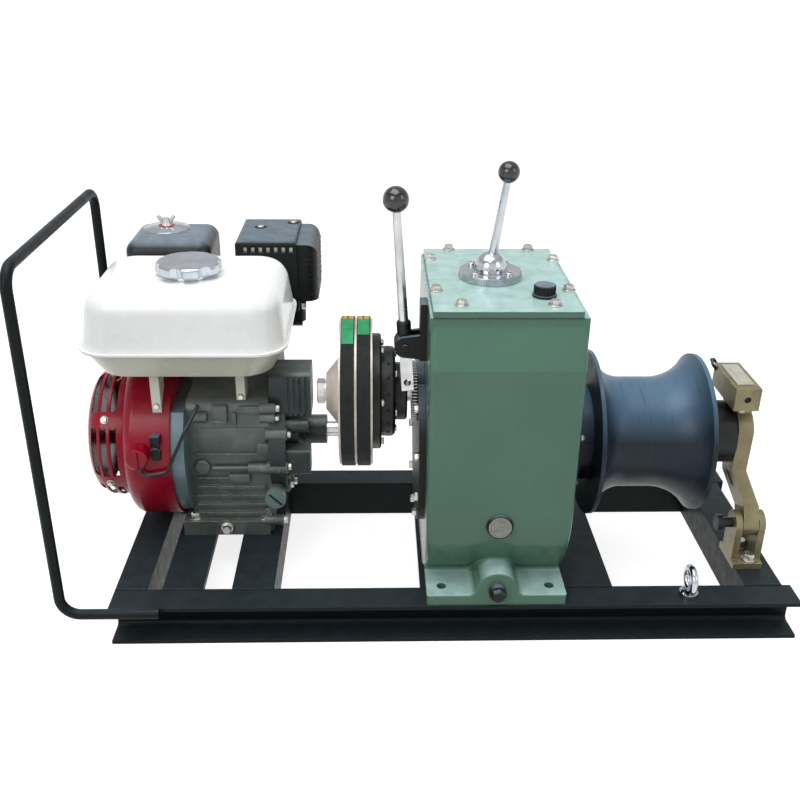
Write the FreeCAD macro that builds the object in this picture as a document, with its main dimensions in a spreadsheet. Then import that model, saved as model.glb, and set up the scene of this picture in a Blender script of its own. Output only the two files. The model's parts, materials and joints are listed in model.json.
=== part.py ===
# Cable pulling winch: a petrol engine drives a two-speed gearbox through twin
# V-belts and a lever clutch, and the gearbox turns a waisted bull wheel whose
# outer end runs in a support that swings away.  Millimetres, +Z up, +X from
# the engine to the bull wheel, +Y from the lever side to the rear.
import FreeCAD, Part
import math
import os
import Sketcher
from FreeCAD import Rotation, Vector

doc = FreeCAD.newDocument("cable_winch")
sheet = doc.addObject("Spreadsheet::Sheet", "sizes")
pieces = []


class Size:
    """A length that is both an expression on the sheet and its present value."""

    def __init__(self, text, value):
        self.text = text
        self.value = float(value)

    def __add__(self, other):
        other = as_size(other)
        return Size("(%s + %s)" % (self.text, other.text), self.value + other.value)

    def __sub__(self, other):
        other = as_size(other)
        return Size("(%s - %s)" % (self.text, other.text), self.value - other.value)

    def __mul__(self, other):
        other = as_size(other)
        return Size("(%s * %s)" % (self.text, other.text), self.value * other.value)

    def __truediv__(self, other):
        other = as_size(other)
        return Size("(%s / %s)" % (self.text, other.text), self.value / other.value)

    def __neg__(self):
        return Size("(0 - %s)" % self.text, -self.value)

    __radd__ = __add__
    __rmul__ = __mul__

    def __rsub__(self, other):
        return as_size(other) - self


def as_size(number):
    if isinstance(number, Size):
        return number
    return Size("(%s)" % repr(float(number)), number)


def root_of(size):
    return Size("sqrt(%s)" % size.text, math.sqrt(size.value))


def sine(angle):
    return Size("sin(%s * 1deg)" % angle.text, math.sin(math.radians(angle.value)))


def cosine(angle):
    return Size("cos(%s * 1deg)" % angle.text, math.cos(math.radians(angle.value)))


row_number = 0


def size(alias, value, note=""):
    """Put one driving dimension on the sheet and return it."""
    global row_number
    row_number += 1
    sheet.set("A%d" % row_number, alias)
    sheet.set("B%d" % row_number, str(value))
    sheet.setAlias("B%d" % row_number, alias)
    if note:
        sheet.set("C%d" % row_number, note)
    sheet.recompute()
    return Size("sizes." + alias, sheet.get("B%d" % row_number))


# Base frame
rail_length = size("rail_length", 805, "front and rear channel rails")
frame_width = size("frame_width", 320, "across both rails")
channel_height = size("channel_height", 50, "height of every channel")
channel_flange = size("channel_flange", 37, "flange of the rails")
channel_wall = size("channel_wall", 4.5, "web and flange thickness")
channel_root = size("channel_root", 5, "radius inside the channels")
left_member_flange = size("left_member_flange", 38, "flange of the left end channel")
right_member_flange = size("right_member_flange", 45, "flange of the right end channel")
right_member_inset = size("right_member_inset", 10, "rail end past the right end channel")
plate_thickness = size("plate_thickness", 8, "flat plates under engine and gearbox")
engine_plate_start = size("engine_plate_start", 55, "left edge of the engine's flat plate")
engine_plate_width = size("engine_plate_width", 48, "width of the engine's flat plate")
engine_channel_start = size("engine_channel_start", 137, "left edge of the engine's channel")
engine_channel_flange = size("engine_channel_flange", 50, "flange of the engine's channel")
gearbox_plate_start = size("gearbox_plate_start", 360, "left edge of the gearbox plate")
gearbox_plate_width = size("gearbox_plate_width", 230, "width of the gearbox plate")
hoop_bar = size("hoop_bar", 12, "diameter of the carrying hoop's bar")
hoop_reach = size("hoop_reach", 50, "hoop centre line left of the frame")
hoop_height = size("hoop_height", 455, "top bar's centre line above the floor")
hoop_weld = size("hoop_weld", 60, "length of each foot bar along the rail")
hoop_bend = size("hoop_bend", 22, "bend radius of the hoop's centre line")

# Engine
crank_y = size("crank_y", 230, "crankshaft axis from the frame's front")
crank_z = size("crank_z", 164, "crankshaft axis above the floor")
fan_start = size("fan_start", 0, "left face of the fan housing")
fan_width = size("fan_width", 60, "fan housing along the crankshaft")
fan_radius = size("fan_radius", 108, "fan housing radius")
fan_round = size("fan_round", 16, "rounding of the fan housing's outer rim")
recoil_radius = size("recoil_radius", 84, "recoil starter cover radius")
recoil_depth = size("recoil_depth", 50, "recoil starter cover depth")
recoil_round = size("recoil_round", 26, "rounding of the recoil starter cover")
recoil_wall = size("recoil_wall", 3, "wall of the recoil starter cover")
recoil_slot_width = size("recoil_slot_width", 8, "air slots round the recoil cover")
recoil_slot_pitch = size("recoil_slot_pitch", 12, "distance from slot to slot")
recoil_slot_first = size("recoil_slot_first", 10, "first slot from the fan housing")
recoil_turn = size("recoil_turn", 32.3, "start of the first row of slots, degrees")
recoil_slot_span = 46
recoil_groups = 6
flange_plate_width = size("flange_plate_width", 16, "crankcase's fan-side flange")
flange_plate_radius = size("flange_plate_radius", 104, "crankcase's fan-side flange radius")
engine_base_start = size("engine_base_start", 62, "left edge of the engine's foot")
engine_base_length = size("engine_base_length", 110, "engine's foot along the crankshaft")
engine_base_front = size("engine_base_front", 153, "front edge of the engine's foot")
engine_base_depth = size("engine_base_depth", 190, "engine's foot from front to rear")
engine_base_height = size("engine_base_height", 20, "thickness of the engine's foot")
crankcase_front = size("crankcase_front", 160, "front wall of the crankcase")
crankcase_depth = size("crankcase_depth", 165, "crankcase from front to rear")
crankcase_top = size("crankcase_top", 236, "top of the crankcase")
crankcase_round = size("crankcase_round", 14, "rounding of the crankcase's top edges")
rib_depth = size("rib_depth", 5, "cooling ribs on the crankcase's front wall")
rib_thickness = size("rib_thickness", 4, "thickness of a rib")
rib_pitch = size("rib_pitch", 13, "height from rib to rib")
rib_count = 4
cover_width = size("cover_width", 20, "crankcase's shaft-side cover")
cover_radius = size("cover_radius", 82, "shaft-side cover radius")
crank_boss_radius = size("crank_boss_radius", 46, "oil seal boss radius")
crank_boss_length = size("crank_boss_length", 14, "oil seal boss length")
crank_nose_radius = size("crank_nose_radius", 19, "nose round the crankshaft's seal")
crank_nose_length = size("crank_nose_length", 34, "nose past the oil seal boss")
gear_case_reach = size("gear_case_reach", 32, "fluted casting past the shaft-side cover")
flute_depth = size("flute_depth", 3, "flutes on the casting's front")
flute_width = size("flute_width", 4, "width of a flute")
flute_pitch = size("flute_pitch", 7, "distance from flute to flute")
flute_count = 4
crankshaft_radius = size("crankshaft_radius", 10, "crankshaft's free end")
cylinder_tilt = size("cylinder_tilt", 25, "cylinder axis above the horizontal, degrees")
cylinder_start = size("cylinder_start", 100, "cylinder foot from the crankshaft axis")
cylinder_bore_wall = size("cylinder_bore_wall", 74, "outside of the cylinder barrel")
cylinder_length = size("cylinder_length", 68, "barrel length")
fin_width = size("fin_width", 104, "cooling fins across the barrel")
fin_thickness = size("fin_thickness", 3.5, "thickness of a cooling fin")
fin_pitch = size("fin_pitch", 9, "distance from fin to fin")
fin_count = 7
shroud_wall = size("shroud_wall", 3, "cooling shroud's sheet")
shroud_lap = size("shroud_lap", 4, "cooling shroud over the head")
elbow_radius = size("elbow_radius", 13, "exhaust elbow radius")
elbow_inset = size("elbow_inset", 44, "exhaust elbow behind the muffler's front")
elbow_drop = size("elbow_drop", 36, "exhaust elbow under the muffler")
head_length = size("head_length", 30, "cylinder head along the cylinder")
head_width = size("head_width", 108, "cylinder head across the crankshaft direction")
valve_cover_length = size("valve_cover_length", 26, "rocker cover along the cylinder")
valve_cover_width = size("valve_cover_width", 78, "rocker cover across")
cylinder_offset = size("cylinder_offset", 118, "cylinder axis from the frame's left end")

tank_left = size("tank_left", 32, "fuel tank's left edge past the frame's left end")
tank_length = size("tank_length", 235, "fuel tank along the crankshaft, at the seam")
tank_front = size("tank_front", 108, "fuel tank's front edge")
tank_depth = size("tank_depth", 206, "fuel tank from front to rear, at the seam")
tank_seam = size("tank_seam", 319, "height of the tank's seam")
tank_upper = size("tank_upper", 71, "height of the tank's upper shell")
tank_lower = size("tank_lower", 33, "height of the tank's lower shell")
tank_left_taper = size("tank_left_taper", 11, "how far the top draws in at the left")
tank_right_taper = size("tank_right_taper", 5, "how far the top draws in at the right")
tank_front_taper = size("tank_front_taper", 6, "how far the top draws in at the front")
tank_rear_slope = size("tank_rear_slope", 44, "how far the top draws in at the rear")
tank_lower_taper = size("tank_lower_taper", 16, "how far the bottom draws in")
tank_corner = size("tank_corner", 38, "corner radius seen from above")
tank_lip = size("tank_lip", 3, "seam flange sticking out")
tank_crown = size("tank_crown", 28, "rounding of the tank's top edge")
cap_radius = size("cap_radius", 38, "fuel cap radius")
cap_height = size("cap_height", 11, "fuel cap height")
cap_crown = size("cap_crown", 4, "rounding of the fuel cap's top")
cap_scallop = size("cap_scallop", 12, "scallops around the fuel cap")
cap_scallop_depth = size("cap_scallop_depth", 4, "depth of the cap's scallops")
cap_lobes = 7
cap_neck_radius = size("cap_neck_radius", 29, "filler neck radius")
cap_neck_height = size("cap_neck_height", 6, "filler neck height")
cap_x = size("cap_x", 90, "fuel cap's centre from the frame's left end")
cap_y = size("cap_y", 185, "fuel cap's centre from the frame's front")
strap_width = size("strap_width", 11, "tank straps along the crankshaft")
strap_depth = size("strap_depth", 26, "tank straps from front to rear")
strap_left = size("strap_left", 40, "left tank strap from the frame's left end")
strap_right = size("strap_right", 138, "right tank strap from the frame's left end")
strap_front = size("strap_front", 144, "front face of the left tank strap")
flange_lift = size("flange_lift", 64, "flat top of the fan-side flange above the crankshaft")

cleaner_left = size("cleaner_left", 20, "air cleaner's left edge past the frame's left end")
cleaner_length = size("cleaner_length", 111, "air cleaner along the crankshaft")
cleaner_front = size("cleaner_front", 322, "air cleaner's front face")
cleaner_depth = size("cleaner_depth", 108, "air cleaner from front to rear")
cleaner_bottom = size("cleaner_bottom", 312, "air cleaner's underside")
cleaner_height = size("cleaner_height", 76, "air cleaner's height")
cleaner_round = size("cleaner_round", 17, "rounding of the air cleaner's edges")
muffler_start = size("muffler_start", 124, "muffler's left face")
muffler_length = size("muffler_length", 107, "muffler along the crankshaft")
muffler_front = size("muffler_front", 328, "muffler's front face")
muffler_depth = size("muffler_depth", 118, "muffler from front to rear")
muffler_bottom = size("muffler_bottom", 304, "muffler's underside")
muffler_height = size("muffler_height", 84, "muffler with its heat shield")
muffler_round = size("muffler_round", 16, "rounding of the muffler's end cap")
shield_length = size("shield_length", 80, "heat shield along the crankshaft")
shield_round = size("shield_round", 5, "rounding of the heat shield's edges")
shield_slot_width = size("shield_slot_width", 5.5, "slots along the heat shield's front")
shield_slot_pitch = size("shield_slot_pitch", 10, "distance from slot to slot")
shield_slot_count = 7

# Belt drive, clutch
input_y = size("input_y", 130, "gearbox input shaft from the frame's front")
input_z = size("input_z", 265, "gearbox input shaft above the floor")
pulley_start = size("pulley_start", 266, "left face of both belt pulleys")
pulley_width = size("pulley_width", 38, "width of both belt pulleys")
pulley_radius = size("pulley_radius", 86, "clutch pulley's rim radius")
engine_pulley_radius = size("engine_pulley_radius", 43, "engine pulley's rim radius")
pulley_hub_radius = size("pulley_hub_radius", 22, "clutch pulley's hub radius")
pulley_hub_length = size("pulley_hub_length", 16, "clutch pulley's cone and hub")
pulley_cone_radius = size("pulley_cone_radius", 42, "clutch pulley's cone at the rim")
friction_disc_radius = size("friction_disc_radius", 68, "friction disc radius")
friction_disc_width = size("friction_disc_width", 10, "friction disc thickness")
pressure_plate_radius = size("pressure_plate_radius", 53, "pressure plate radius")
pressure_plate_width = size("pressure_plate_width", 16, "pressure plate thickness")
release_hub_radius = size("release_hub_radius", 34, "release hub radius")
release_hub_length = size("release_hub_length", 14, "release hub length")
shaft_stub = size("shaft_stub", 27, "input shaft past the pulleys' left face")
groove_width = size("groove_width", 15, "belt groove at the rim")
groove_floor = size("groove_floor", 9, "belt groove at its floor")
groove_depth = size("groove_depth", 11, "belt groove depth")
groove_pitch = size("groove_pitch", 18, "distance between the two grooves")
belt_height = size("belt_height", 9, "thickness of a belt")
belt_proud = size("belt_proud", 2, "belt's back above the pulley rims")
belt_edge = size("belt_edge", 0.6, "belt's square edge beside its back")
belt_gap = size("belt_gap", 0.5, "belt's flanks to the groove's walls, along the shaft")
input_shaft_radius = size("input_shaft_radius", 12, "input shaft radius")
gearbox_start = size("gearbox_start", 364, "gearbox housing's left face")

# Gearbox
gearbox_length = size("gearbox_length", 166, "gearbox housing along the shafts")
gearbox_y = size("gearbox_y", 141, "gearbox centre plane from the frame's front")
gearbox_half_depth = size("gearbox_half_depth", 127, "half the housing from front to rear")
gearbox_belly_z = size("gearbox_belly_z", 161, "centre of the housing's round belly")
gearbox_neck_half = size("gearbox_neck_half", 113, "half depth at the top flange")
gearbox_shoulder = size("gearbox_shoulder", 340, "height where the housing draws in")
gearbox_top = size("gearbox_top", 394, "underside of the cover plate")
gearbox_flange = size("gearbox_flange", 9, "thickness of the housing's top flange")
gearbox_round = size("gearbox_round", 7, "rounding of the housing's edges")
cover_plate_length = size("cover_plate_length", 156, "cover plate along the shafts")
cover_plate_depth = size("cover_plate_depth", 227, "cover plate from front to rear")
cover_plate_thickness = size("cover_plate_thickness", 7, "cover plate thickness")
foot_depth = size("foot_depth", 84, "gearbox foot from its outer edge to its end under the belly")
foot_height = size("foot_height", 14, "gearbox foot thickness")
foot_overhang = size("foot_overhang", 12, "foot past the housing's front")
foot_hump_radius = size("foot_hump_radius", 24, "round hump over the drain plug")
foot_hump_flare = size("foot_hump_flare", 10, "hump's flare into the foot")
foot_hole_radius = size("foot_hole_radius", 5.5, "bolt holes through the feet")
foot_hole_inset = size("foot_hole_inset", 19, "bolt holes from the foot's outer edge")
foot_hole_margin = size("foot_hole_margin", 20, "bolt holes from the foot's ends")
foot_round = size("foot_round", 3, "rounding of the foot's edges")
foot_web = size("foot_web", 4, "fillet between foot and belly")

output_z = size("output_z", 205, "bull wheel axis above the floor")
shaft_radius = size("shaft_radius", 22, "bull wheel shaft radius")
wheel_start = size("wheel_start", 562, "left flange of the bull wheel")
wheel_width = size("wheel_width", 133, "bull wheel along its axis")
wheel_left_radius = size("wheel_left_radius", 100, "left flange radius")
wheel_right_radius = size("wheel_right_radius", 95, "right flange radius")
wheel_waist_radius = size("wheel_waist_radius", 67, "radius at the waist")
wheel_waist_start = size("wheel_waist_start", 42, "waist's flat from the left flange")
wheel_waist_width = size("wheel_waist_width", 34, "length of the waist's flat")
wheel_rim = size("wheel_rim", 5, "cylindrical rim of each flange")

# Engine and gearbox fittings
shift_flange_radius = size("shift_flange_radius", 35, "gear lever's flange")
shift_flange_height = size("shift_flange_height", 9, "thickness of the gear lever's flange")
shift_ball_radius = size("shift_ball_radius", 18.5, "gear lever's ball")
shift_ball_lift = size("shift_ball_lift", 12, "ball's centre above the cover plate")
shift_x = size("shift_x", 437, "gear lever from the frame's left end")
shift_lean = size("shift_lean", 8, "gear lever's lean towards the bull wheel, degrees")
shift_lever_length = size("shift_lever_length", 108, "ball centre to knob centre")
shift_lever_radius = size("shift_lever_radius", 5.2, "gear lever's foot radius")
shift_knob_radius = size("shift_knob_radius", 12, "gear lever's knob")
shift_pin_radius = size("shift_pin_radius", 3, "pin through the gear lever's ball")
clutch_lever_y = size("clutch_lever_y", 92, "clutch lever from the frame's front")
clutch_pivot_x = size("clutch_pivot_x", 340, "clutch lever's pivot from the left end")
clutch_pivot_z = size("clutch_pivot_z", 340, "clutch lever's pivot above the floor")
clutch_lean = size("clutch_lean", 4, "clutch lever's lean towards the engine, degrees")
clutch_lever_length = size("clutch_lever_length", 162, "pivot to the knob's centre")
clutch_lever_radius = size("clutch_lever_radius", 5.5, "clutch lever's bar")
clutch_knob_radius = size("clutch_knob_radius", 14, "clutch lever's knob")
clutch_toe_length = size("clutch_toe_length", 55, "pivot to the lever's lower end")
clutch_pin_radius = size("clutch_pin_radius", 4, "clutch lever's pin")
breather_x = size("breather_x", 489, "breather from the frame's left end")
breather_y = size("breather_y", 78, "breather from the frame's front")
breather_radius = size("breather_radius", 11, "breather cap radius")
breather_height = size("breather_height", 13, "breather cap height")
sight_glass_radius = size("sight_glass_radius", 13, "oil sight glass radius")
sight_glass_z = size("sight_glass_z", 150, "oil sight glass above the floor")
drain_plug_radius = size("drain_plug_radius", 10, "drain plug radius")
drain_plug_z = size("drain_plug_z", 70, "drain plug above the floor")
left_cover_radius = size("left_cover_radius", 98, "bearing cover on the clutch side")
left_cover_thickness = size("left_cover_thickness", 8, "bearing cover on the clutch side")
input_cap_radius = size("input_cap_radius", 35, "input bearing's toothed ring")
input_cap_thickness = size("input_cap_thickness", 6, "input bearing's toothed ring")
right_cover_radius = size("right_cover_radius", 72, "bearing cover on the wheel side")
right_cover_thickness = size("right_cover_thickness", 14, "bearing cover on the wheel side")
wheel_hub_radius = size("wheel_hub_radius", 58, "hub between cover and bull wheel")

# Tail support
tail_gap = size("tail_gap", 18, "bull wheel to the tail bearing")
tail_bearing_radius = size("tail_bearing_radius", 38, "tail bearing housing radius")
tail_bearing_length = size("tail_bearing_length", 26, "tail bearing housing length")
tail_spigot_radius = size("tail_spigot_radius", 26, "spigot held in the swing arm")
arm_slot_length = size("arm_slot_length", 20, "oval hole through the swing arm")
arm_slot_width = size("arm_slot_width", 10, "oval hole through the swing arm")
arm_slot_place = size("arm_slot_place", 56, "oval hole's middle from the hinge pin")
arm_thickness = size("arm_thickness", 18, "swing arm along the shaft")
arm_offset = size("arm_offset", 16, "arm's foot outside its head")
arm_rim = size("arm_rim", 14, "material round the arm's saddle")
arm_lip = size("arm_lip", 14, "saddle's upper lip past its middle")
arm_foot_radius = size("arm_foot_radius", 16, "arm's foot round the hinge pin")
saddle_gap = size("saddle_gap", 0.3, "saddle to the bearing's spigot")
hinge_y = size("hinge_y", 95, "arm's hinge pin from the frame's front")
hinge_z = size("hinge_z", 102, "arm's hinge pin above the floor")
hinge_pin_radius = size("hinge_pin_radius", 6, "arm's hinge pin")
clevis_ear = size("clevis_ear", 8, "thickness of the clevis ears and base")
clevis_depth = size("clevis_depth", 50, "clevis from front to rear")
clevis_gap = size("clevis_gap", 1, "arm's foot to each ear")
block_length = size("block_length", 80, "latch block from front to rear")
block_width = size("block_width", 30, "latch block along the shaft")
block_height = size("block_height", 28, "latch block height")
block_clearance = size("block_clearance", 8, "latch block above the bearing housing")
block_bore_radius = size("block_bore_radius", 4, "hole along the latch block")
eye_x = size("eye_x", 676, "lifting eye from the frame's left end")
eye_radius = size("eye_radius", 14, "lifting eye's centre line")
eye_bar_radius = size("eye_bar_radius", 4, "lifting eye's bar")

running_gap = size("running_gap", 0.05, "radial clearance of a running fit")
seat_gap = size("seat_gap", 0.2, "clearance of a seated piece")

left = as_size(0)
front = as_size(0)
floor = as_size(0)
deck = channel_height
centre_x = (rail_length - hoop_reach - hoop_bar / 2) / 2
rear_edge = muffler_front + muffler_depth
centre_y = (rear_edge - hoop_bar) / 2


# Drawing
def bind(item, name, length):
    item.setExpression(name, as_size(length).text)


def origin_item(body, role):
    for item in body.Origin.OriginFeatures:
        if item.Role == role:
            return item
    raise ValueError(role)


def new_body(label, x=0, y=0, z=0, rotation=None):
    """Start a piece whose own origin lies at x, y, z of the frame's corner."""
    body = doc.addObject("PartDesign::Body", label)
    body.Label = label
    if rotation:
        body.Placement.Rotation = rotation
    bind(body, "Placement.Base.x", as_size(x) - centre_x)
    bind(body, "Placement.Base.y", as_size(y) - centre_y)
    bind(body, "Placement.Base.z", as_size(z))
    pieces.append(body)
    return body


def pin_point(sketch, geometry, point, x, y):
    """Hold one point of a sketch at x, y measured from the sketch's origin."""
    for kind, length, axis in (("DistanceX", x, -2), ("DistanceY", y, -1)):
        if length.text == "(0.0)":
            sketch.addConstraint(Sketcher.Constraint("PointOnObject", geometry, point, axis))
            continue
        number = sketch.addConstraint(
            Sketcher.Constraint(kind, -1, 1, geometry, point, length.value))
        name = "%s_%d_%d" % (kind[-1].lower(), geometry, point)
        sketch.renameConstraint(number, name)
        sketch.setExpression("Constraints." + name, length.text)


def hold_radius(sketch, geometry, radius):
    number = sketch.addConstraint(Sketcher.Constraint("Radius", geometry, radius.value))
    name = "radius_%d" % geometry
    sketch.renameConstraint(number, name)
    sketch.setExpression("Constraints." + name, radius.text)


def new_sketch(body, role, offset):
    sketch = body.newObject("Sketcher::SketchObject", "outline")
    sketch.AttachmentSupport = [(origin_item(body, role), "")]
    sketch.MapMode = "FlatFace"
    bind(sketch, "AttachmentOffset.Base.z", offset)
    return sketch


def add_outline(sketch, outline):
    """Add a closed outline: (x, y) corners, with (x, y, radius) arc centres between."""
    edges = []
    for item in outline:
        if len(item) == 2:
            edges.append([tuple(as_size(part) for part in item), None])
        else:
            edges[-1][1] = tuple(as_size(part) for part in item)
    first = sketch.GeometryCount
    ends = []
    for number, (corner, arc) in enumerate(edges):
        following = edges[(number + 1) % len(edges)][0]
        start = Vector(corner[0].value, corner[1].value, 0)
        stop = Vector(following[0].value, following[1].value, 0)
        if arc is None:
            sketch.addGeometry(Part.LineSegment(start, stop))
            ends.append((1, 2))
            continue
        centre = Vector(arc[0].value, arc[1].value, 0)
        circle = Part.Circle(centre, Vector(0, 0, 1), (start - centre).Length)
        opening = math.atan2(start.y - centre.y, start.x - centre.x)
        closing = math.atan2(stop.y - centre.y, stop.x - centre.x)
        if (closing - opening) % (2 * math.pi) <= math.pi:
            sketch.addGeometry(Part.ArcOfCircle(circle, opening, closing))
            ends.append((1, 2))
        else:
            sketch.addGeometry(Part.ArcOfCircle(circle, closing, opening))
            ends.append((2, 1))
    for number, (corner, arc) in enumerate(edges):
        following = (number + 1) % len(edges)
        sketch.addConstraint(Sketcher.Constraint(
            "Coincident", first + number, ends[number][1],
            first + following, ends[following][0]))
    for number, (corner, arc) in enumerate(edges):
        pin_point(sketch, first + number, ends[number][0], *corner)
        if arc is not None:
            hold_radius(sketch, first + number, arc[2])


def add_circle(sketch, x, y, radius):
    x, y, radius = as_size(x), as_size(y), as_size(radius)
    number = sketch.addGeometry(
        Part.Circle(Vector(x.value, y.value, 0), Vector(0, 0, 1), radius.value))
    pin_point(sketch, number, 3, x, y)
    hold_radius(sketch, number, radius)


PLANES = {"x": "YZ_Plane", "y": "XZ_Plane", "z": "XY_Plane"}


def prism(body, axis, start, stop, outlines=(), circles=(), cut=False):
    """Pad or pocket outlines drawn square to an axis, from start to stop along it."""
    start, stop = as_size(start), as_size(stop)
    sketch = new_sketch(body, PLANES[axis], -stop if axis == "y" else start)
    for outline in outlines:
        add_outline(sketch, outline)
    for circle in circles:
        add_circle(sketch, *circle)
    kind = "PartDesign::Pocket" if cut else "PartDesign::Pad"
    feature = body.newObject(kind, "cut" if cut else "pad")
    feature.Profile = sketch
    bind(feature, "Length", stop - start)
    feature.Reversed = cut
    body.Tip = feature
    doc.recompute()
    return feature


def turned(body, outline, axis="X_Axis", cut=False, angle=360):
    """Revolve an outline of (along the axis, radius) pairs about the body's axis."""
    role = "XY_Plane" if axis == "X_Axis" else "YZ_Plane"
    sketch = new_sketch(body, role, 0)
    if axis == "Z_Axis":
        outline = [(item[1], item[0]) + tuple(item[2:]) for item in outline]
    add_outline(sketch, outline)
    kind = "PartDesign::Groove" if cut else "PartDesign::Revolution"
    feature = body.newObject(kind, "groove" if cut else "turn")
    feature.Profile = sketch
    feature.ReferenceAxis = (origin_item(body, axis), [""])
    feature.Angle = angle
    body.Tip = feature
    doc.recompute()
    return feature


def ring_of(body, feature, count, axis="X_Axis"):
    pattern = body.newObject("PartDesign::PolarPattern", "ring")
    pattern.Originals = [feature]
    pattern.Axis = (origin_item(body, axis), [""])
    pattern.Angle = 360
    pattern.Occurrences = count
    body.Tip = pattern
    doc.recompute()
    return pattern


def row_of(body, feature, axis, pitch, count):
    pattern = body.newObject("PartDesign::LinearPattern", "row")
    pattern.Originals = [feature]
    pattern.Direction = (origin_item(body, axis), [""])
    bind(pattern, "Length", pitch * (count - 1))
    pattern.Occurrences = count
    body.Tip = pattern
    doc.recompute()
    return pattern


def round_edges(body, radius, pick, kind="PartDesign::Fillet"):
    """Round the edges whose middle point passes the test pick(middle, edge)."""
    base = body.Tip
    names = []
    for number, edge in enumerate(base.Shape.Edges, 1):
        middle = edge.valueAt((edge.FirstParameter + edge.LastParameter) / 2)
        if pick(middle, edge):
            names.append("Edge%d" % number)
    feature = body.newObject(kind, "rounding")
    feature.Base = (base, names)
    bind(feature, "Size" if kind.endswith("Chamfer") else "Radius", radius)
    body.Tip = feature
    doc.recompute()
    return feature


def box(x0, y0, x1, y1):
    return [(x0, y0), (x1, y0), (x1, y1), (x0, y1)]


def rounded_box(x0, y0, x1, y1, radius):
    x0, y0, x1, y1 = as_size(x0), as_size(y0), as_size(x1), as_size(y1)
    return [
        (x0 + radius, y0), (x1 - radius, y0), (x1 - radius, y0 + radius, radius),
        (x1, y0 + radius), (x1, y1 - radius), (x1 - radius, y1 - radius, radius),
        (x1 - radius, y1), (x0 + radius, y1), (x0 + radius, y1 - radius, radius),
        (x0, y1 - radius), (x0, y0 + radius), (x0 + radius, y0 + radius, radius)]


def loft(body, axis, sections):
    """Loft rounded boxes, each given as (place along the axis, outline)."""
    sketches = []
    for place, outline in sections:
        place = as_size(place)
        sketch = new_sketch(body, PLANES[axis], -place if axis == "y" else place)
        add_outline(sketch, outline)
        sketches.append(sketch)
    doc.recompute()
    feature = body.newObject("PartDesign::AdditiveLoft", "loft")
    feature.Profile = sketches[0]
    feature.Sections = sketches[1:]
    feature.Ruled = True
    body.Tip = feature
    doc.recompute()
    return feature


def bent_bar(label, points, bend, diameter):
    """A round bar along straight runs joined by tangent bends."""
    route = [Vector(*[as_size(part).value for part in point]) for point in points]
    edges = []
    last = route[0]
    for before, corner, after in zip(route, route[1:], route[2:]):
        into = (corner - before).normalize()
        out = (after - corner).normalize()
        turn = into.getAngle(out)
        reach = bend.value * math.tan(turn / 2)
        entry = corner - into * reach
        leave = corner + out * reach
        inward = (out - into).normalize()
        centre = corner + inward * (bend.value / math.cos(turn / 2))
        middle = centre - inward * bend.value
        edges.append(Part.LineSegment(last, entry).toShape())
        edges.append(Part.Arc(entry, middle, leave).toShape())
        last = leave
    edges.append(Part.LineSegment(last, route[-1]).toShape())
    wire = Part.Wire(edges)
    first = (route[1] - route[0]).normalize()
    section = Part.Wire(Part.makeCircle(diameter.value / 2, route[0], first))
    bar = doc.addObject("Part::Feature", label)
    bar.Label = label
    bar.Shape = wire.makePipeShell([section], True, True)
    bind(bar, "Placement.Base.x", -centre_x)
    bind(bar, "Placement.Base.y", -centre_y)
    pieces.append(bar)
    return bar


# Base frame
def channel_section(web, opening):
    """Channel lying on its flanges, web at one side and open at the other."""
    inward = 1 if opening.value > web.value else -1
    inner = web + channel_wall * inward
    root = inner + channel_root * inward
    low = channel_wall
    high = channel_height - channel_wall
    return [
        (web, floor), (opening, floor), (opening, low), (root, low),
        (root, low + channel_root, channel_root), (inner, low + channel_root),
        (inner, high - channel_root), (root, high - channel_root, channel_root),
        (root, high), (opening, high), (opening, channel_height), (web, channel_height)]


inner_front = channel_flange
inner_rear = frame_width - channel_flange
front_rail = new_body("front_rail")
prism(front_rail, "x", 0, rail_length, [channel_section(channel_flange, front)])
rear_rail = new_body("rear_rail")
prism(rear_rail, "x", 0, rail_length, [channel_section(inner_rear, frame_width)])
left_member = new_body("left_end_member")
prism(left_member, "y", inner_front, inner_rear,
      [channel_section(left_member_flange, left)])
right_member = new_body("right_end_member")
right_end = rail_length - right_member_inset
prism(right_member, "y", inner_front, inner_rear,
      [channel_section(right_end - right_member_flange, right_end)])
engine_plate = new_body("engine_plate")
prism(engine_plate, "z", deck - plate_thickness, deck,
      [box(engine_plate_start, inner_front, engine_plate_start + engine_plate_width,
           inner_rear)])
engine_channel = new_body("engine_channel")
prism(engine_channel, "y", inner_front, inner_rear,
      [channel_section(engine_channel_start + engine_channel_flange,
                       engine_channel_start)])
gearbox_plate = new_body("gearbox_plate")
prism(gearbox_plate, "z", deck - plate_thickness, deck,
      [box(gearbox_plate_start, inner_front, gearbox_plate_start + gearbox_plate_width,
           inner_rear)])
hoop_near = -hoop_bar / 2
hoop_far = frame_width + hoop_bar / 2
hoop_foot = deck - channel_wall / 2
bent_bar("handle_hoop", [
    (hoop_weld, hoop_near, hoop_foot),
    (-hoop_reach, hoop_near, hoop_foot),
    (-hoop_reach, hoop_near, hoop_height),
    (-hoop_reach, hoop_far, hoop_height),
    (-hoop_reach, hoop_far, hoop_foot),
    (hoop_weld, hoop_far, hoop_foot)], hoop_bend, hoop_bar)

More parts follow.
